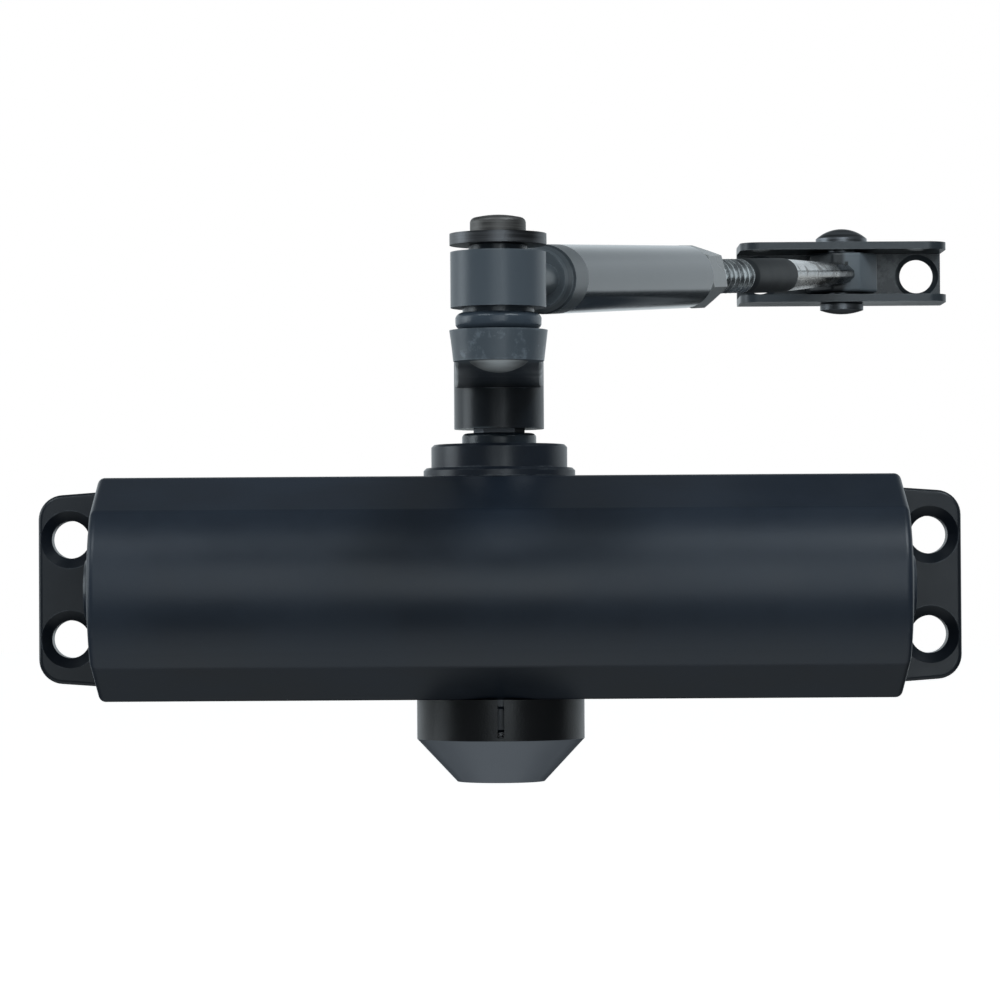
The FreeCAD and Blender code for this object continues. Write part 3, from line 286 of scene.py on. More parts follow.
def make_coat_grain():
    """Sprayed coat: fine orange peel on a slightly uneven casting, with faint cloudy tone."""
    group, start, end = new_group("coat_grain", [
        ("Vector", "NodeSocketVector", None),
        ("Peel Scale", "NodeSocketFloat", PEEL_SCALE),
        ("Cast Scale", "NodeSocketFloat", CAST_SCALE),
        ("Cast Share", "NodeSocketFloat", CAST_SHARE),
    ], ["Height", "Tone", "Specks"])
    vector = start.outputs["Vector"]
    peel = noise(group, vector, start.outputs["Peel Scale"], 2.0)
    cast = noise(group, vector, start.outputs["Cast Scale"], 3.0)
    share = combine(group, "MULTIPLY", start.outputs["Cast Share"], CAST_WEIGHT)
    height = combine(group, "ADD", peel, combine(group, "MULTIPLY", cast, share))
    cloud = noise(group, vector, CLOUD_SCALE, 4.0, 0.6)
    specks = ramp(group, noise(group, vector, SPECK_SCALE, 1.0), *SPECK_ZONE)
    group.links.new(height, end.inputs["Height"])
    group.links.new(cloud, end.inputs["Tone"])
    group.links.new(specks, end.inputs["Specks"])
    return group


def make_edge_rub_and_highlight():
    """Rubbed edges that also carry painted highlights: where the rounded normal leaves the true
    one, broken by noise.
    """
    group, start, end = new_group("edge_rub_and_highlight", [
        ("Vector", "NodeSocketVector", None),
        ("Width", "NodeSocketFloat", RUB_AND_HIGHLIGHT_WIDTH),
    ], ["Mask"])
    bevel = add_node(group, "ShaderNodeBevel", samples=RUB_AND_HIGHLIGHT_SAMPLES)
    group.links.new(start.outputs["Width"], bevel.inputs["Radius"])
    facing = add_node(group, "ShaderNodeNewGeometry")
    dot = add_node(group, "ShaderNodeVectorMath", operation="DOT_PRODUCT")
    group.links.new(bevel.outputs["Normal"], dot.inputs[0])
    group.links.new(facing.outputs["Normal"], dot.inputs[1])
    edge = ramp(group, dot.outputs["Value"], *RUB_AND_HIGHLIGHT_TURN_ZONE)
    broken = ramp(group, noise(group, start.outputs["Vector"], RUB_AND_HIGHLIGHT_SCALE, 4.0, 0.65),
                  *RUB_AND_HIGHLIGHT_BREAK_ZONE)
    group.links.new(combine(group, "MULTIPLY", edge, broken), end.inputs["Mask"])
    return group


def make_turning_marks():
    """Fine rings left by a lathe round the local Z axis."""
    group, start, end = new_group("turning_marks", [
        ("Vector", "NodeSocketVector", None),
        ("Rings", "NodeSocketFloat", RING_SCALE),
    ], ["Height", "Streak"])
    parts = add_node(group, "ShaderNodeSeparateXYZ")
    group.links.new(start.outputs["Vector"], parts.inputs[0])
    square = combine(group, "ADD",
                     combine(group, "MULTIPLY", parts.outputs[X], parts.outputs[X]),
                     combine(group, "MULTIPLY", parts.outputs[Y], parts.outputs[Y]))
    joined = add_node(group, "ShaderNodeCombineXYZ")
    group.links.new(combine(group, "SQRT", square, 0.0), joined.inputs[X])
    group.links.new(parts.outputs[Z], joined.inputs[Z])
    rings = noise(group, joined.outputs[0], start.outputs["Rings"], 3.0, 0.6)
    stretched = add_node(group, "ShaderNodeVectorMath", operation="MULTIPLY")
    group.links.new(start.outputs["Vector"], stretched.inputs[0])
    stretched.inputs[1].default_value = STREAK_STRETCH
    streak = noise(group, stretched.outputs[0], 1.0, 3.0, 0.6)
    group.links.new(rings, end.inputs["Height"])
    group.links.new(streak, end.inputs["Streak"])
    return group


def make_plastic_grain():
    """Eroded grain of a moulded cover, with faint flow tone."""
    group, start, end = new_group("plastic_grain", [
        ("Vector", "NodeSocketVector", None),
        ("Scale", "NodeSocketFloat", MOULD_SCALE),
    ], ["Height", "Tone"])
    vector = start.outputs["Vector"]
    cells = voronoi(group, vector, start.outputs["Scale"])
    fine = noise(group, vector, start.outputs["Scale"], 2.0)
    group.links.new(combine(group, "ADD", cells["Distance"], fine), end.inputs["Height"])
    group.links.new(noise(group, vector, FLOW_SCALE, 3.0, 0.6), end.inputs["Tone"])
    return group


def make_zinc_spangle():
    """Cloudy plated zinc: pale crystals, grey stains and fine scratches."""
    group, start, end = new_group("zinc_spangle", [
        ("Vector", "NodeSocketVector", None),
        ("Scale", "NodeSocketFloat", SPANGLE_SCALE),
    ], ["Height", "Tone", "Stain"])
    vector = start.outputs["Vector"]
    cells = voronoi(group, vector, start.outputs["Scale"])
    parts = add_node(group, "ShaderNodeSeparateColor")
    group.links.new(cells["Color"], parts.inputs[0])
    stain = ramp(group, noise(group, vector, STAIN_SCALE, 4.0, 0.65), *STAIN_ZONE)
    group.links.new(noise(group, vector, SCRATCH_SCALE, 3.0, 0.6), end.inputs["Height"])
    group.links.new(parts.outputs[0], end.inputs["Tone"])
    group.links.new(stain, end.inputs["Stain"])
    return group


GRAIN = make_coat_grain()
RUB_AND_HIGHLIGHT = make_edge_rub_and_highlight()
TURNING = make_turning_marks()
PLASTIC = make_plastic_grain()
ZINC = make_zinc_spangle()

# Places

# The rod's axis starts at the elbow and climbs towards the shoe
ELBOW = Vector((0.0, -0.2, 0.04415))
ELBOW_AXIS = (0.0, -0.2, 0.0)
ROD_TURN = math.radians(71.2)
ROD_RISE = math.radians(4.23)
ROD_EULER = (0.0, -ROD_RISE, ROD_TURN)
ROD_AXIS = (Matrix.Translation(ELBOW) @ Matrix.Rotation(ROD_TURN, 4, "Z")
            @ Matrix.Rotation(-ROD_RISE, 4, "Y"))
SHOE_RIVET = Vector((65.362, -8.0, 59.151)) * MM


def axis_of(name):
    """The middle of a CAD node's box, where its upright axis runs."""
    low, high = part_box(name)
    middle = (low + high) / 2
    return (middle.x, middle.y, 0.0)


# Finishes

COAT_IOR = 1.5
PLASTIC_IOR = 1.48

# The ends of a cloudy tone, as shares of the tone or as a spread to both sides
DEEP_SHARE = 0.86
PALE_SHARE = 1.16
# Painted shade on the body's flanges, as a share of the coat's tone
FLANGE_SHADE_SHARE = 0.42
MOULD_SPREAD = 0.14
METAL_SPREAD = 0.35

TONE_ZONE = (0.3, 0.7)
FEED_ZONE = (0.25, 0.75)

# Depths of relief
PEEL_DEPTH = 0.01 * MM
TUBE_PEEL_DEPTH = 0.004 * MM
ARM_PEEL_DEPTH = 0.016 * MM
TURNED_DEPTH = 0.004 * MM
PIN_DEPTH = 0.006 * MM
MOULD_DEPTH = 0.012 * MM
COVER_DEPTH = 0.01 * MM
ZINC_DEPTH = 0.012 * MM

# Tones. A pair of them is blended by the grain
ANTHRACITE = (0.019, 0.0275, 0.042)
COLLAR_TONE = (0.016, 0.022, 0.033)
# Rub tones: bare metal on rubbed edges, and painted edge highlights too
COAT_RUB_AND_HIGHLIGHT = (0.16, 0.18, 0.2)
BODY_RUB_AND_HIGHLIGHT = (0.14, 0.158, 0.178)
# Painted light and shade on the arm: a shaded copy of the coat for the bar and boss, a lit copy
# for the eye
ARM_SHADE_TONES = ((0.012, 0.016, 0.022), (0.02, 0.026, 0.034))
ARM_LIT_TONES = ((0.07, 0.088, 0.106), (0.12, 0.142, 0.164))
ARM_SMEAR = (0.17, 0.2, 0.23)
ARM_RUB_AND_HIGHLIGHT = (0.2, 0.23, 0.26)
TUBE_TONES = ((0.042, 0.055, 0.068), (0.054, 0.068, 0.082))
# Painted light: paler copies of the forearm's coat on the eye, neck and nose's band
FOREARM_EYE_LIT_TONES = ((0.085, 0.104, 0.124), (0.11, 0.132, 0.154))
NECK_LIT_TONE = (0.095, 0.111, 0.124)
BAND_LIT_TONE = (0.075, 0.088, 0.098)
FOREARM_RUB_AND_HIGHLIGHT = (0.2, 0.22, 0.24)
SHOE_TONES = ((0.035, 0.044, 0.053), (0.05, 0.06, 0.07))
SHOE_PALE_PATCH = (0.13, 0.145, 0.155)
SHOE_RUB_AND_HIGHLIGHT = (0.14, 0.155, 0.165)
PIN_DARK = ((0.2, 0.205, 0.215), (0.3, 0.305, 0.315))
PIN_BARE = ((0.36, 0.37, 0.375), (0.56, 0.57, 0.57))
SHAFT_GROUND = ((0.4, 0.4, 0.41), (0.6, 0.6, 0.61))
SHAFT_BLACK = ((0.03, 0.033, 0.038), (0.055, 0.058, 0.064))
DRUM_TONES = ((0.0065, 0.0068, 0.008), (0.009, 0.0095, 0.011))
CONE_TONES = ((0.19, 0.203, 0.23), (0.23, 0.245, 0.275))
TAPER_SILVER = ((0.46, 0.47, 0.475), (0.56, 0.56, 0.56))
TAPER_BROWN = ((0.27, 0.245, 0.22), (0.36, 0.325, 0.29))
TAPER_STAIN = (0.25, 0.24, 0.23)
# Painted shadow where the taper enters the eye
BLADE_SHADOW = (0.02, 0.022, 0.025)
# Painted light and shade on the rod's eye: a lit outer half, shade towards the shank and in the
# slit
ROD_EYE_LIT_TONES = ((0.125, 0.145, 0.165), (0.17, 0.195, 0.215))
ROD_EYE_SHADE = (0.016, 0.019, 0.022)
ROD_EYE_SLIT_SHADE = (0.006, 0.007, 0.008)
ROD_EYE_RUB_AND_HIGHLIGHT = (0.22, 0.24, 0.26)
ZINC_TONE = (0.5, 0.53, 0.54)
ZINC_STAIN = (0.16, 0.17, 0.18)
SHANK_TONE = (0.014, 0.017, 0.02)
SHANK_RUB_AND_HIGHLIGHT = (0.06, 0.065, 0.07)
NUT_TONE = (0.2, 0.207, 0.213)
NUT_RUB_AND_HIGHLIGHT = (0.5, 0.49, 0.47)
BEAD_TONE = (0.07, 0.09, 0.115)
DOME_TONE = (0.15, 0.145, 0.14)
RIVET_TONE = (0.2, 0.21, 0.225)

# Places in metres where a finish changes, as (from, to): the mask grows that way
FLANGE_ZONE = (0.0726, 0.0732)
ARM_EYE_ZONE = (-0.191, -0.194)
FOREARM_EYE_ZONE = (0.0082, 0.0068)
NECK_ZONE = (0.0188, 0.0184)
BAND_WINDOW = ((0.0184, 0.0188), (0.0268, 0.0264))
PEENED_ZONE = (0.0327, 0.0325)
SHAFT_OUTSIDE_ZONE = (0.0255, 0.0262)
CONE_ZONE = (-0.0277, -0.0279)
TAPER_UNDER_ZONE = (0.0004, -0.0008)
BLADE_ZONE = (0.1855, 0.1885)
ROD_EYE_OUTER_ZONE = (-0.0006, 0.0004)
SLIT_ACROSS = ((0.0, 0.00015), (0.0008, 0.00065))
SLIT_UPRIGHT = ((-0.0021, -0.0017), (0.0021, 0.0017))
PALE_PATCH_ACROSS = ((0.0712, 0.0728), (0.0778, 0.0762))
PALE_PATCH_DEPTH = ((-0.001, -0.0013), (-0.002, -0.0016))

# Torn patches: cells per metre, and the range of the noise that shows
SMEAR_SCALE = 430.0
SMEAR_ZONE = (0.55, 0.68)
PALE_PATCH_SCALE = 480.0
PALE_PATCH_ZONE = (0.38, 0.62)


def shaded(tone, share):
    """A tone times a share, with no part above 1."""
    return tuple(min(part * share, 1.0) for part in tone)


class Finish:
    """A material under construction: its tree, shader and local coordinates."""

    def __init__(self, name, centre=(0.0, 0.0, 0.0), turn=(0.0, 0.0, 0.0)):
        self.material = bpy.data.materials.new(name)
        self.material.use_nodes = True
        self.tree = self.material.node_tree
        self.skin = self.tree.nodes["Principled BSDF"]
        place = add_node(self.tree, "ShaderNodeMapping", vector_type="TEXTURE")
        place.inputs["Location"].default_value = centre
        place.inputs["Rotation"].default_value = turn
        source = add_node(self.tree, "ShaderNodeTexCoord")
        self.tree.links.new(source.outputs["Object"], place.inputs["Vector"])
        self.vector = place.outputs["Vector"]

    def use(self, group, **values):
        """Places a shared effect with this material's own values."""
        node = add_node(self.tree, "ShaderNodeGroup", node_tree=group)
        self.tree.links.new(self.vector, node.inputs["Vector"])
        for label, value in values.items():
            node.inputs[label.replace("_", " ")].default_value = value
        return node.outputs

    def blend(self, factor, first, second):
        """Mixes two colours, each a colour or a socket."""
        first, second = ((*item, 1.0) if isinstance(item, tuple) else item
                         for item in (first, second))
        return mix_colours(self.tree, factor, first, second)

    def both(self, first, second):
        """A mask where two masks meet."""
        return combine(self.tree, "MULTIPLY", first, second)

    def zone(self, axis, start, end):
        """A mask that grows from 0 at one place on a local axis to 1 at another."""
        parts = add_node(self.tree, "ShaderNodeSeparateXYZ")
        self.tree.links.new(self.vector, parts.inputs[0])
        return ramp(self.tree, parts.outputs[axis], start, end)

    def window(self, axis, near, far):
        """A mask between two zones on a local axis, each growing towards the other."""
        return self.both(self.zone(axis, *near), self.zone(axis, *far))

    def patches(self, scale, zone):
        """A mask of torn patches."""
        return ramp(self.tree, noise(self.tree, self.vector, scale, 5.0, 0.7), *zone)

    def cloud(self, value, dark, pale):
        """A colour that drifts between two tones."""
        return self.blend(ramp(self.tree, value, *TONE_ZONE), dark, pale)

    def colour(self, socket):
        self.tree.links.new(socket, self.skin.inputs["Base Color"])

    def feed(self, label, value, low, high):
        """Lets an effect move a shader value between two ends."""
        self.tree.links.new(ramp(self.tree, value, *FEED_ZONE, low, high), self.skin.inputs[label])

    def relief(self, height, depth):
        """A bump of a real depth in metres."""
        bump = add_node(self.tree, "ShaderNodeBump")
        bump.inputs["Distance"].default_value = depth
        bump.inputs["Strength"].default_value = 1.0
        self.tree.links.new(height, bump.inputs["Height"])
        self.tree.links.new(bump.outputs["Normal"], self.skin.inputs["Normal"])

    def fix(self, **values):
        """Sets values that are the same all over, on the shader's own sockets."""
        for label, value in values.items():
            self.skin.inputs[label.replace("_", " ")].default_value = value

    def coat(self, grain, rub_and_highlight_mask, colour, rub_and_highlight, rough, depth=PEEL_DEPTH):
        """Closes a coat: bare metal and painted highlights on the rubbed edges, uneven gloss and
        orange peel.
        """
        self.colour(self.blend(rub_and_highlight_mask, colour, rub_and_highlight))
        self.feed("Roughness", grain["Tone"], *rough)
        self.relief(grain["Height"], depth)
        self.fix(IOR=COAT_IOR)
        return self.material


def painted(name, tone, rough, rub_and_highlight=COAT_RUB_AND_HIGHLIGHT):
    """Stoved coat on metal, with cloudy tone, and rubbed edges that also carry painted highlights.
    """
    finish = Finish(name)
    grain = finish.use(GRAIN)
    edge = finish.use(RUB_AND_HIGHLIGHT)
    pale = shaded(tone, PALE_SHARE)
    cloudy = finish.cloud(grain["Tone"], shaded(tone, DEEP_SHARE), pale)
    speckled = finish.blend(grain["Specks"], cloudy, pale)
    return finish.coat(grain, edge["Mask"], speckled, rub_and_highlight, (rough * 0.85, rough * 1.15))


def turned(name, tone, rough, centre=(0.0, 0.0, 0.0), spread=METAL_SPREAD):
    """Lathe-turned metal with rings round its axis and fine streaks."""
    finish = Finish(name, centre)
    marks = finish.use(TURNING)
    finish.colour(finish.cloud(marks["Streak"], shaded(tone, 1.0 - spread),
                               shaded(tone, 1.0 + spread)))
    finish.feed("Roughness", marks["Streak"], rough * 0.8, rough * 1.25)
    finish.relief(marks["Height"], TURNED_DEPTH)
    finish.fix(Metallic=1.0)
    return finish.material


def moulded(name, tone, rough, scale=MOULD_SCALE):
    """Moulded plastic or rubber with eroded grain."""
    finish = Finish(name)
    grain = finish.use(PLASTIC, Scale=scale)
    finish.colour(finish.cloud(grain["Tone"], shaded(tone, 1.0 - MOULD_SPREAD),
                               shaded(tone, 1.0 + MOULD_SPREAD)))
    finish.feed("Roughness", grain["Tone"], rough * 0.9, rough * 1.1)
    finish.relief(grain["Height"], MOULD_DEPTH)
    finish.fix(IOR=PLASTIC_IOR)
    return finish.material


def thread_finish():
    """Zinc plate with spangle and grey stains."""
    finish = Finish("zinc_thread", tuple(ELBOW), ROD_EULER)
    zinc = finish.use(ZINC)
    crystal = finish.blend(zinc["Tone"], ZINC_TONE, shaded(ZINC_TONE, 1.2))
    finish.colour(finish.blend(zinc["Stain"], crystal, ZINC_STAIN))
    finish.feed("Roughness", zinc["Stain"], 0.24, 0.39)
    finish.relief(zinc["Height"], ZINC_DEPTH)
    finish.fix(Metallic=0.85)
    return finish.material


def body_finish():
    """The body's coat, with painted shade that darkens it on the two screw flanges beyond its
    ends.
    """
    finish = Finish("body_coat")
    grain = finish.use(GRAIN)
    edge = finish.use(RUB_AND_HIGHLIGHT)
    inner, outer = FLANGE_ZONE
    flange_shade = combine(finish.tree, "MAXIMUM", finish.zone(X, -inner, -outer),
                     finish.zone(X, inner, outer))
    cloudy = finish.cloud(grain["Tone"], shaded(ANTHRACITE, DEEP_SHARE),
                          shaded(ANTHRACITE, PALE_SHARE))
    # Painted shade: a darker copy of the coat on the flanges
    coat = finish.blend(flange_shade, cloudy, shaded(ANTHRACITE, FLANGE_SHADE_SHARE))
    return finish.coat(grain, edge["Mask"], coat, BODY_RUB_AND_HIGHLIGHT, (0.31, 0.41))


def arm_finish():
    """Coated forging: a paler, smeared eye at the elbow, painted as lit, and a bar and boss
    painted dark as the shade under the arm.
    """
    finish = Finish("arm_coat")
    grain = finish.use(GRAIN, Cast_Share=1.4)
    edge = finish.use(RUB_AND_HIGHLIGHT, Width=0.6 * MM)
    eye = finish.zone(Y, *ARM_EYE_ZONE)
    # Painted light on the eye, painted shade on the bar and boss
    base = finish.blend(eye, finish.blend(grain["Tone"], *ARM_SHADE_TONES),
                        finish.blend(grain["Tone"], *ARM_LIT_TONES))
    smear = finish.both(eye, finish.patches(SMEAR_SCALE, SMEAR_ZONE))
    coat = finish.blend(smear, base, ARM_SMEAR)
    return finish.coat(grain, edge["Mask"], coat, ARM_RUB_AND_HIGHLIGHT, (0.27, 0.4), ARM_PEEL_DEPTH)


def forearm_finish():
    """Smooth coat on the tube; the eye and neck paler and duller, and the nose's band darker than
    the neck but paler than the tube, all painted light: the neck and band lifted against the shade
    that the eye casts on them.
    """
    finish = Finish("forearm_coat", tuple(ELBOW), ROD_EULER)
    grain = finish.use(GRAIN)
    edge = finish.use(RUB_AND_HIGHLIGHT)
    eye = finish.zone(X, *FOREARM_EYE_ZONE)
    neck = finish.zone(X, *NECK_ZONE)
    band = finish.window(X, *BAND_WINDOW)
    # Painted light: paler eye, neck and band; the neck and band lift the shade the eye casts on
    # them
    tube = finish.blend(grain["Tone"], *TUBE_TONES)
    nose = finish.blend(band, finish.blend(neck, tube, NECK_LIT_TONE), BAND_LIT_TONE)
    coat = finish.blend(eye, nose, finish.blend(grain["Tone"], *FOREARM_EYE_LIT_TONES))
    finish.colour(finish.blend(edge["Mask"], coat, FOREARM_RUB_AND_HIGHLIGHT))
    dull = combine(finish.tree, "MAXIMUM", neck, band)
    finish.tree.links.new(ramp(finish.tree, dull, 0.0, 1.0, 0.13, 0.36),
                          finish.skin.inputs["Roughness"])
    finish.relief(grain["Height"], TUBE_PEEL_DEPTH)
    finish.fix(IOR=COAT_IOR)
    return finish.material


def shoe_finish():
    """Coat on the channel, with a pale mottled patch beside the eye."""
    finish = Finish("shoe_coat")
    grain = finish.use(GRAIN)
    edge = finish.use(RUB_AND_HIGHLIGHT, Width=0.4 * MM)
    # A pale mottled patch on the channel beside the eye
    place = finish.both(finish.window(X, *PALE_PATCH_ACROSS), finish.window(Y, *PALE_PATCH_DEPTH))
    pale_patch = finish.both(place, finish.patches(PALE_PATCH_SCALE, PALE_PATCH_ZONE))
    coat = finish.blend(pale_patch, finish.blend(grain["Tone"], *SHOE_TONES), SHOE_PALE_PATCH)
    return finish.coat(grain, edge["Mask"], coat, SHOE_RUB_AND_HIGHLIGHT, (0.27, 0.38))


def rod_eye_finish():
    """Coat on the eye: painted shade towards the shank, where the taper shades it, a paler outer
    half painted as lit, and a slit painted dark as shade.
    """
    finish = Finish("rod_eye_coat", tuple(SHOE_RIVET))
    grain = finish.use(GRAIN)
    edge = finish.use(RUB_AND_HIGHLIGHT)
    outer = finish.zone(X, *ROD_EYE_OUTER_ZONE)
    slit = finish.both(finish.window(X, *SLIT_ACROSS), finish.window(Z, *SLIT_UPRIGHT))
    # Painted shade in the slit and towards the shank, painted light on the outer half
    pale = finish.blend(slit, finish.blend(grain["Tone"], *ROD_EYE_LIT_TONES), ROD_EYE_SLIT_SHADE)
    coat = finish.blend(outer, ROD_EYE_SHADE, pale)
    return finish.coat(grain, finish.both(edge["Mask"], outer), coat, ROD_EYE_RUB_AND_HIGHLIGHT, (0.28, 0.4))


def pin_finish():
    """Blackened head and shank, with the bare grey metal of the peened end below the arm."""
    finish = Finish("pin_steel", ELBOW_AXIS)
    marks = finish.use(TURNING)
    finish.colour(finish.blend(finish.zone(Z, *PEENED_ZONE),
                               finish.blend(marks["Streak"], *PIN_DARK),
                               finish.blend(marks["Streak"], *PIN_BARE)))
    finish.feed("Roughness", marks["Streak"], 0.34, 0.5)
    finish.relief(marks["Height"], PIN_DEPTH)
    finish.fix(Metallic=0.9)
    return finish.material


def shaft_finish():
    """Ground journals and teeth, and a blackened square above the cap."""
    finish = Finish("shaft_steel", axis_of("pinion_shaft"))
    marks = finish.use(TURNING)
    finish.colour(finish.blend(finish.zone(Z, *SHAFT_OUTSIDE_ZONE),
                               finish.blend(marks["Streak"], *SHAFT_GROUND),
                               finish.blend(marks["Streak"], *SHAFT_BLACK)))
    finish.feed("Roughness", marks["Streak"], 0.24, 0.42)
    finish.relief(marks["Height"], TURNED_DEPTH)
    finish.fix(Metallic=0.9)
    return finish.material


def cover_finish():
    """Black drum that turns into a paler cone."""
    finish = Finish("cover_plastic")
    grain = finish.use(PLASTIC)
    finish.colour(finish.blend(finish.zone(Z, *CONE_ZONE),
                               finish.blend(grain["Tone"], *DRUM_TONES),
                               finish.blend(grain["Tone"], *CONE_TONES)))
    finish.feed("Roughness", grain["Tone"], 0.3, 0.38)
    finish.relief(grain["Height"], COVER_DEPTH)
    finish.fix(IOR=PLASTIC_IOR)
    return finish.material


def taper_finish():
    """Bright forged facets, silver above and browner below, with painted shadow where they enter
    the eye.
    """
    finish = Finish("forged_taper", tuple(ELBOW), ROD_EULER)
    zinc = finish.use(ZINC)
    blade_shadow = finish.zone(X, *BLADE_ZONE)
    facets = finish.blend(finish.zone(Z, *TAPER_UNDER_ZONE),
                          finish.blend(zinc["Tone"], *TAPER_SILVER),
                          finish.blend(zinc["Tone"], *TAPER_BROWN))
    bare = finish.blend(zinc["Stain"], facets, TAPER_STAIN)
    # Painted shadow on the blade where it enters the eye
    finish.colour(finish.blend(blade_shadow, bare, BLADE_SHADOW))
    finish.feed("Roughness", zinc["Stain"], 0.2, 0.32)
    finish.tree.links.new(ramp(finish.tree, blade_shadow, 0.0, 1.0, 0.85, 0.1),
                          finish.skin.inputs["Metallic"])
    finish.relief(zinc["Height"], ZINC_DEPTH)
    return finish.material


def dress(material, *nodes):
    """Gives CAD nodes a finish."""
    for name in nodes:
        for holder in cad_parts[name].material_slots:
            holder.material = material


def dress_all():
    dress(body_finish(), "closer_body")
    dress(painted("plug_coat", ANTHRACITE, 0.36), "left_end_plug", "right_end_plug")
    dress(painted("collar_coat", COLLAR_TONE, 0.31), "upper_bearing_cap", "lower_bearing_cap")
    dress(arm_finish(), "main_arm")
    dress(forearm_finish(), "forearm_tube")
    dress(shoe_finish(), "shoe_bracket")
    dress(turned("blackened_steel", (0.11, 0.112, 0.118), 0.38, ELBOW_AXIS), "elbow_washer")
    dress(pin_finish(), "elbow_pin")
    dress(turned("blackened_screw", (0.08, 0.08, 0.085), 0.4, axis_of("arm_screw")),
          "arm_screw", "arm_washer")
    dress(shaft_finish(), "pinion_shaft")
    dress(turned("valve_steel", (0.52, 0.52, 0.5), 0.3), "sweep_valve", "latch_valve",
          "check_retainer")
    dress(turned("ball_polish", (0.6, 0.6, 0.61), 0.08, spread=0.05), "check_ball")
    dress(turned("piston_turned", (0.3, 0.3, 0.31), 0.35), "piston")
    dress(turned("spring_oiled", (0.2, 0.2, 0.21), 0.3), "closing_spring")
    dress(turned("bronze_turned", (0.55, 0.4, 0.2), 0.32, axis_of("upper_bearing")),
          "upper_bearing", "lower_bearing")
    dress(cover_finish(), "spindle_cover")
    dress(moulded("ring_plastic", (0.03, 0.04, 0.052), 0.24, FINE_MOULD_SCALE), "dust_ring",
          "elbow_bush")
    dress(moulded("slide_plastic", (0.6, 0.57, 0.5), 0.4), "piston_seal")
    dress(moulded("seal_rubber", (0.012, 0.012, 0.012), 0.5), "left_plug_seal",
          "right_plug_seal", "latch_valve_seal", "sweep_valve_seal", "upper_shaft_seal",
          "lower_shaft_seal")


# Shapes

WELD = 1e-7
ROUND_PROFILE = 0.5
SMOOTH_ANGLE = 35.0
ALONG_X = Matrix.Rotation(math.radians(90.0), 3, "Y")
LATHE_STEPS = 64
UPRIGHT_STEPS = 72
ARC_STEPS = 8
CROWN_STEPS = 10


def finish_piece(name, shape, body, material, place, smooth_angle=SMOOTH_ANGLE):
    """Turns a bmesh into a named piece that rides on a body."""
    bmesh.ops.remove_doubles(shape, verts=list(shape.verts), dist=WELD)
    bmesh.ops.recalc_face_normals(shape, faces=list(shape.faces))
    bmesh.ops.transform(shape, matrix=place, verts=list(shape.verts))
    for face in shape.faces:
        face.smooth = True
    sharp = math.radians(smooth_angle)
    for edge in shape.edges:
        edge.smooth = len(edge.link_faces) == 2 and edge.calc_face_angle(0.0) < sharp
    mesh = bpy.data.meshes.new(name)
    shape.to_mesh(mesh)
    shape.free()
    mesh.materials.append(material)
    piece = bpy.data.objects.new(name, mesh)
    bpy.context.collection.objects.link(piece)
    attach(piece, body)
    return piece


def profile(shape, points, closed=False):
    """The vertices and edges of a profile through points, in their order."""
    verts = [shape.verts.new(point) for point in points]
    ends = verts[1:] + verts[:1] if closed else verts[1:]
    return verts + [shape.edges.new(pair) for pair in zip(verts, ends)]


def lathe(shape, points, steps=LATHE_STEPS):
    """Spins a profile of (along, radius) about the X axis."""
    line = profile(shape, [(along, 0.0, radius) for along, radius in points])
    bmesh.ops.spin(shape, geom=line, cent=(0.0, 0.0, 0.0), axis=(1.0, 0.0, 0.0),
                   angle=math.tau, steps=steps, use_merge=True)


def upright_lathe(name, points, axis, body, material, closed=False):
    """Spins a profile of (radius, level) in millimetres about an upright axis."""
    shape = bmesh.new()
    line = profile(shape, [(radius * MM, 0.0, level * MM) for radius, level in points], closed)
    bmesh.ops.spin(shape, geom=line, cent=(0.0, 0.0, 0.0), axis=(0.0, 0.0, 1.0),
                   angle=math.tau, steps=UPRIGHT_STEPS, use_merge=True)
    place = Matrix.Translation((axis[X], axis[Y], 0.0))
    return finish_piece(name, shape, body, material, place)


def arc(middle, radius, start, end):
    """Points on an arc of the profile, from one angle to another in degrees."""
    angles = [math.radians(start + (end - start) * k / ARC_STEPS) for k in range(ARC_STEPS + 1)]
    return [(middle[0] + radius * math.cos(angle), middle[1] + radius * math.sin(angle))
            for angle in angles]


def crown(edge, low, high):
    """Points from a side at one level to the axis at another, along a shallow ball."""
    rise = high - low
    radius = (edge ** 2 + rise ** 2) / (2 * abs(rise))
    way = math.copysign(1.0, rise)
    wides = [edge * (1 - k / CROWN_STEPS) for k in range(1, CROWN_STEPS + 1)]
    return [(wide, high - way * (radius - math.sqrt(radius ** 2 - wide ** 2))) for wide in wides]


def grow_loop(shape, loop):
    """Extrudes a loop of edges in place, and gives its new vertices and edges."""
    grown = bmesh.ops.extrude_edge_only(shape, edges=loop)["geom"]
    verts = [item for item in grown if isinstance(item, bmesh.types.BMVert)]
    edges = [item for item in grown if isinstance(item, bmesh.types.BMEdge)
             and all(vert in verts for vert in item.verts)]
    return verts, edges


def soften(shape, edges, offset, segments, **settings):
    """Rounds edges."""
    bmesh.ops.bevel(shape, geom=edges, offset=offset, affect="EDGES", segments=segments,
                    profile=ROUND_PROFILE, material=-1, **settings)


# Rod

THREAD_PITCH = 3.0 * MM
THREAD_CREST = 2.95 * MM
THREAD_ROOT = 2.45 * MM
THREAD_FLANK = (THREAD_ROOT + THREAD_CREST) / 2 + 0.08 * MM
THREAD_START = 60.5 * MM
THREAD_END = 132.5 * MM
THREAD_STEPS = 28
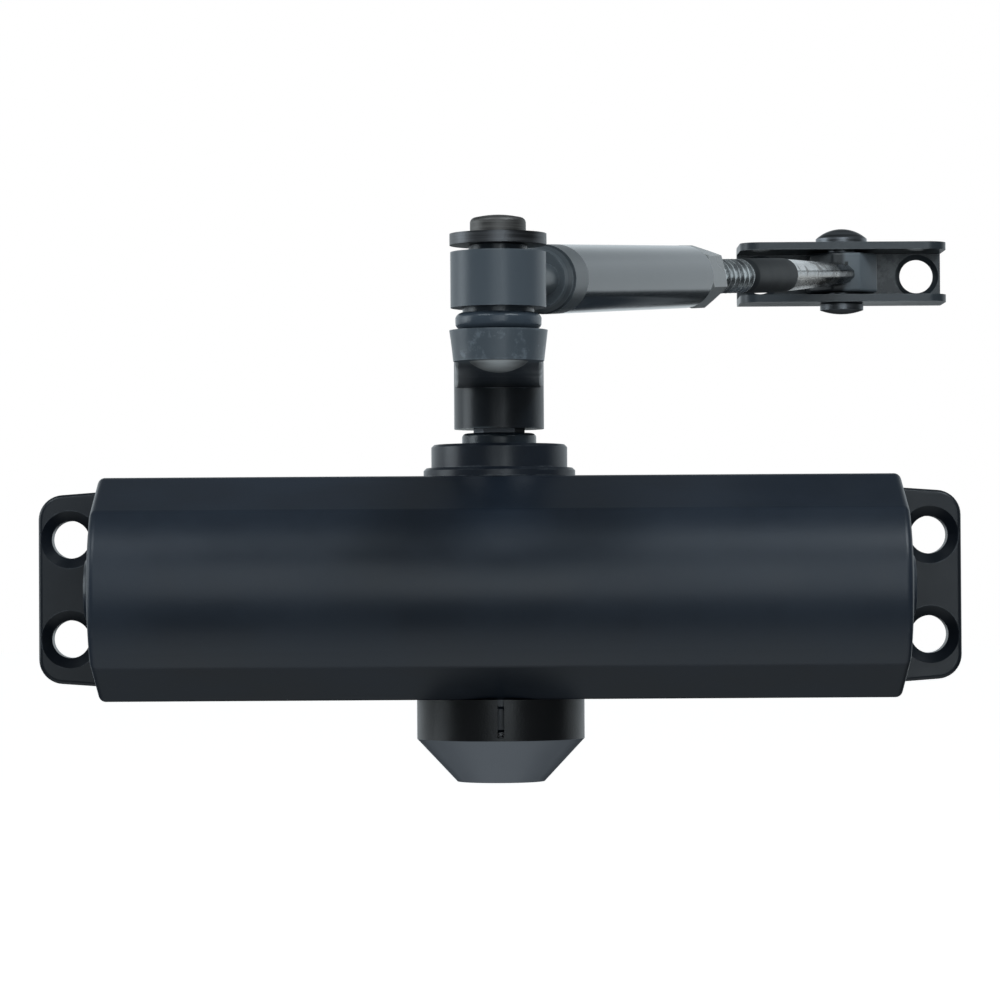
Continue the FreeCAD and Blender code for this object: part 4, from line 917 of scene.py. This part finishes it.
# One turn of the ridge, as (share of the pitch, radius)
THREAD_RIDGE = ((0.0, THREAD_ROOT), (0.14, THREAD_ROOT), (0.36, THREAD_FLANK),
                (0.47, THREAD_CREST), (0.59, THREAD_CREST), (0.7, THREAD_FLANK),
                (0.92, THREAD_ROOT), (1.0, THREAD_ROOT))
CORE_RADIUS = THREAD_ROOT + 0.01 * MM
CORE_CHAMFER = 0.3 * MM
CORE_START = THREAD_START - THREAD_PITCH
CORE_END = THREAD_END + 1.0 * MM
CORE_STEPS = 48

SHANK_RADIUS = 3.05 * MM
SHANK_START = THREAD_END - 1.2 * MM
SHANK_END = 159.0 * MM
SHANK_LEAD = 0.2 * MM
SHANK_LEAD_DROP = 0.1 * MM
SHANK_END_LENGTH = 0.4 * MM
SHANK_END_DROP = 0.3 * MM

TAPER_SIDES = 12
TAPER_ROLL = Matrix.Rotation(math.radians(15.0), 3, "X")
TAPER_START_SHARE = 0.97
TAPER_OVERLAP = 0.1 * MM
# Each step's length, and how much wider and higher its end is than its start
TAPER_STATIONS = ((6.0 * MM, 1.02, 0.97), (19.0 * MM, 1.22, 0.84), (13.0 * MM, 1.15, 0.95))
TAPER_FACET_LENGTH = 4.0 * MM
TAPER_EDGE = 0.18 * MM
TAPER_SMOOTH_ANGLE = 25.0

ROD_EYE_FLATS = 12.9 * MM
ROD_EYE_HEIGHT = 7.4 * MM
ROD_EYE_HOLE = 2.76 * MM
ROD_EYE_HOLE_STEPS = 40
ROD_EYE_CORNERS = (90.0, 135.0, 180.0, 225.0, 270.0)
ROD_EYE_ROUND = range(-67, 68, 9)
ROD_EYE_RIM = 0.6 * MM
ROD_EYE_CORNER = 0.4 * MM
ROD_EYE_SMOOTH_ANGLE = 28.0


def rod_thread():
    """Rolled thread: one rounded ridge wound along the rod, over a plain core."""
    shape = bmesh.new()
    ridge = profile(shape, [(THREAD_START + share * THREAD_PITCH, 0.0, radius)
                            for share, radius in THREAD_RIDGE])
    turns = round((THREAD_END - THREAD_START) / THREAD_PITCH) - 1
    bmesh.ops.spin(shape, geom=ridge, cent=(0.0, 0.0, 0.0), axis=(1.0, 0.0, 0.0),
                   dvec=(THREAD_PITCH / THREAD_STEPS, 0.0, 0.0), angle=math.tau * turns,
                   steps=THREAD_STEPS * turns, use_merge=False)
    lathe(shape, [(CORE_START, 0.0), (CORE_START, THREAD_ROOT - CORE_CHAMFER),
                  (CORE_START + CORE_CHAMFER, CORE_RADIUS), (CORE_END, CORE_RADIUS),
                  (CORE_END, 0.0)], CORE_STEPS)
    piece = finish_piece("rod_thread", shape, "rod", thread_finish(), ROD_AXIS)
    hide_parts("adjusting_rod")


def rod_shank():
    """Plain round length, with a small lead where the thread runs out."""
    shape = bmesh.new()
    lathe(shape, [(SHANK_START, 0.0), (SHANK_START, THREAD_ROOT),
                  (THREAD_END - SHANK_LEAD, SHANK_RADIUS - SHANK_LEAD_DROP),
                  (THREAD_END + SHANK_LEAD, SHANK_RADIUS),
                  (SHANK_END - SHANK_END_LENGTH, SHANK_RADIUS),
                  (SHANK_END, SHANK_RADIUS - SHANK_END_DROP), (SHANK_END, 0.0)])
    coat = painted("shank_coat", SHANK_TONE, 0.58, SHANK_RUB_AND_HIGHLIGHT)
    finish_piece("rod_shank", shape, "rod", coat, ROD_AXIS)


def rod_taper():
    """Forged length that goes from round to a flat blade in long facets."""
    shape = bmesh.new()
    ring = bmesh.ops.create_circle(shape, segments=TAPER_SIDES,
                                   radius=SHANK_RADIUS * TAPER_START_SHARE)["verts"]
    for turn in (ALONG_X, TAPER_ROLL):
        bmesh.ops.rotate(shape, cent=(0.0, 0.0, 0.0), matrix=turn, verts=ring)
    bmesh.ops.translate(shape, vec=(SHANK_END - TAPER_OVERLAP, 0.0, 0.0), verts=ring)
    loop = list(shape.edges)
    shape.faces.new(ring).normal_update()
    for length, wide, high in TAPER_STATIONS:
        verts, loop = grow_loop(shape, loop)
        bmesh.ops.translate(shape, vec=(length, 0.0, 0.0), verts=verts)
        bmesh.ops.scale(shape, vec=(1.0, wide, high), verts=verts)
    bmesh.ops.edgeloop_fill(shape, edges=loop)
    bmesh.ops.remove_doubles(shape, verts=list(shape.verts), dist=WELD)
    facet_edges = [edge for edge in shape.edges
                   if abs(edge.verts[0].co.x - edge.verts[1].co.x) > TAPER_FACET_LENGTH]
    soften(shape, facet_edges, TAPER_EDGE, 2)
    finish_piece("rod_taper", shape, "rod", taper_finish(), ROD_AXIS,
                 TAPER_SMOOTH_ANGLE)


def rod_eye():
    """Eye on an upright axis: facets towards the shank, a half round towards the web."""
    shape = bmesh.new()
    apothem = ROD_EYE_FLATS / 2
    corner = apothem / math.cos(math.radians(22.5))
    outline = [(corner, math.radians(angle)) for angle in ROD_EYE_CORNERS]
    outline += [(apothem, math.radians(angle)) for angle in ROD_EYE_ROUND]
    verts = [shape.verts.new((radius * math.cos(angle), radius * math.sin(angle),
                              -ROD_EYE_HEIGHT / 2)) for radius, angle in outline]
    rim = [shape.edges.new(pair) for pair in zip(verts, verts[1:] + verts[:1])]
    hole = bmesh.ops.create_circle(shape, segments=ROD_EYE_HOLE_STEPS,
                                   radius=ROD_EYE_HOLE)["verts"]
    bmesh.ops.translate(shape, vec=(0.0, 0.0, -ROD_EYE_HEIGHT / 2), verts=hole)
    inner = [edge for edge in shape.edges if edge not in rim]
    bmesh.ops.bridge_loops(shape, edges=rim + inner)
    grown = bmesh.ops.extrude_face_region(shape, geom=list(shape.faces))["geom"]
    top = [item for item in grown if isinstance(item, bmesh.types.BMVert)]
    bmesh.ops.translate(shape, vec=(0.0, 0.0, ROD_EYE_HEIGHT), verts=top)
    bmesh.ops.recalc_face_normals(shape, faces=list(shape.faces))
    outer = [edge for edge in shape.edges if len(edge.link_faces) == 2
             and edge.calc_face_angle(0.0) > math.radians(60.0)
             and min(vert.co.xy.length for vert in edge.verts) > ROD_EYE_HOLE * 1.2]
    soften(shape, outer, ROD_EYE_RIM, 3, clamp_overlap=True)
    upright = [edge for edge in shape.edges if len(edge.link_faces) == 2
               and abs(edge.verts[0].co.z - edge.verts[1].co.z) > ROD_EYE_HEIGHT * 0.6
               and math.radians(30.0) < edge.calc_face_angle(0.0) < math.radians(60.0)]
    soften(shape, upright, ROD_EYE_CORNER, 2, clamp_overlap=True)
    place = Matrix.Translation(SHOE_RIVET) @ Matrix.Rotation(ROD_TURN, 4, "Z")
    finish_piece("rod_eye", shape, "rod", rod_eye_finish(), place,
                 ROD_EYE_SMOOTH_ANGLE)


def make_rod():
    rod_thread()
    rod_shank()
    rod_taper()
    rod_eye()


# Nut and pivots

NUT_FLATS = 9.2 * MM
NUT_START = 95.45 * MM
NUT_LENGTH = 9.0 * MM
NUT_BORE = 3.05 * MM
NUT_ANGLE = math.radians(20.0)
NUT_SIDE_CUTS = 7
NUT_FACE_SHARE = 0.94
NUT_CONE_SLOPE = 0.6
NUT_SMOOTH_ANGLE = 24.0

# Profiles in millimetres, as (radius, level). An arc has its middle, radius and two angles,
# and a crown its side's radius and level, and its top's level
BEAD_BOTTOM = (5.2, 37.06)
BEAD_LOWER_ARC = ((5.15, 38.1), 1.02, -86.0, -20.0)
BEAD_UPPER_ARC = ((5.12, 38.45), 1.05, 15.0, 86.0)
BEAD_TOP = (5.2, 39.52)

DOME_SIDE = ((0.0, 50.72), (3.98, 50.72), (3.98, 52.25))
DOME_ARC = ((3.2, 52.25), 0.78, 8.0, 82.0)
DOME_CROWN = (3.2, 53.03, 53.4)

RIVET_LOWER_CROWN = (4.1, 52.25, 51.5)
RIVET_SIDE = ((4.1, 52.25), (4.1, 53.3), (3.95, 53.48), (2.7, 53.48), (2.7, 64.82),
              (4.7, 64.82), (4.85, 65.0), (4.85, 65.8))
RIVET_UPPER_CROWN = (4.85, 65.8, 67.7)


def lock_nut():
    """Hexagon nut, with the rounded corners that a cone cuts at both ends."""
    shape = bmesh.new()
    apothem = NUT_FLATS / 2
    face = apothem * NUT_FACE_SHARE
    bmesh.ops.create_circle(shape, segments=6, radius=apothem / math.cos(math.radians(30.0)))
    bmesh.ops.subdivide_edges(shape, edges=list(shape.edges), cuts=NUT_SIDE_CUTS)
    bmesh.ops.rotate(shape, cent=(0.0, 0.0, 0.0), matrix=ALONG_X, verts=list(shape.verts))
    near, near_loop = list(shape.verts), list(shape.edges)
    far, far_loop = grow_loop(shape, near_loop)
    bmesh.ops.translate(shape, vec=(NUT_LENGTH, 0.0, 0.0), verts=far)
    for verts, loop, inward in ((near, near_loop, 1.0), (far, far_loop, -1.0)):
        rim, rim_loop = grow_loop(shape, loop)
        for vert in verts:
            vert.co.x += inward * (vert.co.yz.length - face) * NUT_CONE_SLOPE
        for vert in rim:
            vert.co.yz = vert.co.yz.normalized() * face
        mouth, _ = grow_loop(shape, rim_loop)
        for vert in mouth:
            vert.co.yz = vert.co.yz.normalized() * NUT_BORE
    bores = [edge for edge in shape.edges if len(edge.link_faces) == 1]
    bmesh.ops.bridge_loops(shape, edges=bores)
    place = (ROD_AXIS @ Matrix.Translation((NUT_START, 0.0, 0.0))
             @ Matrix.Rotation(NUT_ANGLE, 4, "X"))
    piece = finish_piece("lock_nut_hexagon", shape, "nut",
                         painted("nut_coat", NUT_TONE, 0.27, NUT_RUB_AND_HIGHLIGHT), place, NUT_SMOOTH_ANGLE)
    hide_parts("lock_nut")


def make_pivots():
    """The elbow's bead and pin head, and the shoe's rivet."""
    bead = [BEAD_BOTTOM, *arc(*BEAD_LOWER_ARC), *arc(*BEAD_UPPER_ARC), BEAD_TOP]
    piece = upright_lathe("elbow_ring_bead", bead, ELBOW_AXIS, "arm",
                          moulded("elbow_ring_plastic", BEAD_TONE, 0.26, FINE_MOULD_SCALE),
                          closed=True)
    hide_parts("elbow_ring")
    dome = [*DOME_SIDE, *arc(*DOME_ARC), *crown(*DOME_CROWN)]
    upright_lathe("elbow_pin_dome", dome, ELBOW_AXIS, "arm",
                  turned("pin_dome_steel", DOME_TONE, 0.52, ELBOW_AXIS))
    rivet = [*reversed(crown(*RIVET_LOWER_CROWN)), *RIVET_SIDE, *crown(*RIVET_UPPER_CROWN)]
    piece = upright_lathe("shoe_rivet_heads", rivet, SHOE_RIVET, "shoe",
                          turned("rivet_steel", RIVET_TONE, 0.38, axis_of("shoe_rivet")))
    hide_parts("shoe_rivet")


def main():
    set_camera()
    set_floor()
    set_light()
    dress_all()
    make_rod()
    lock_nut()
    make_pivots()


main()
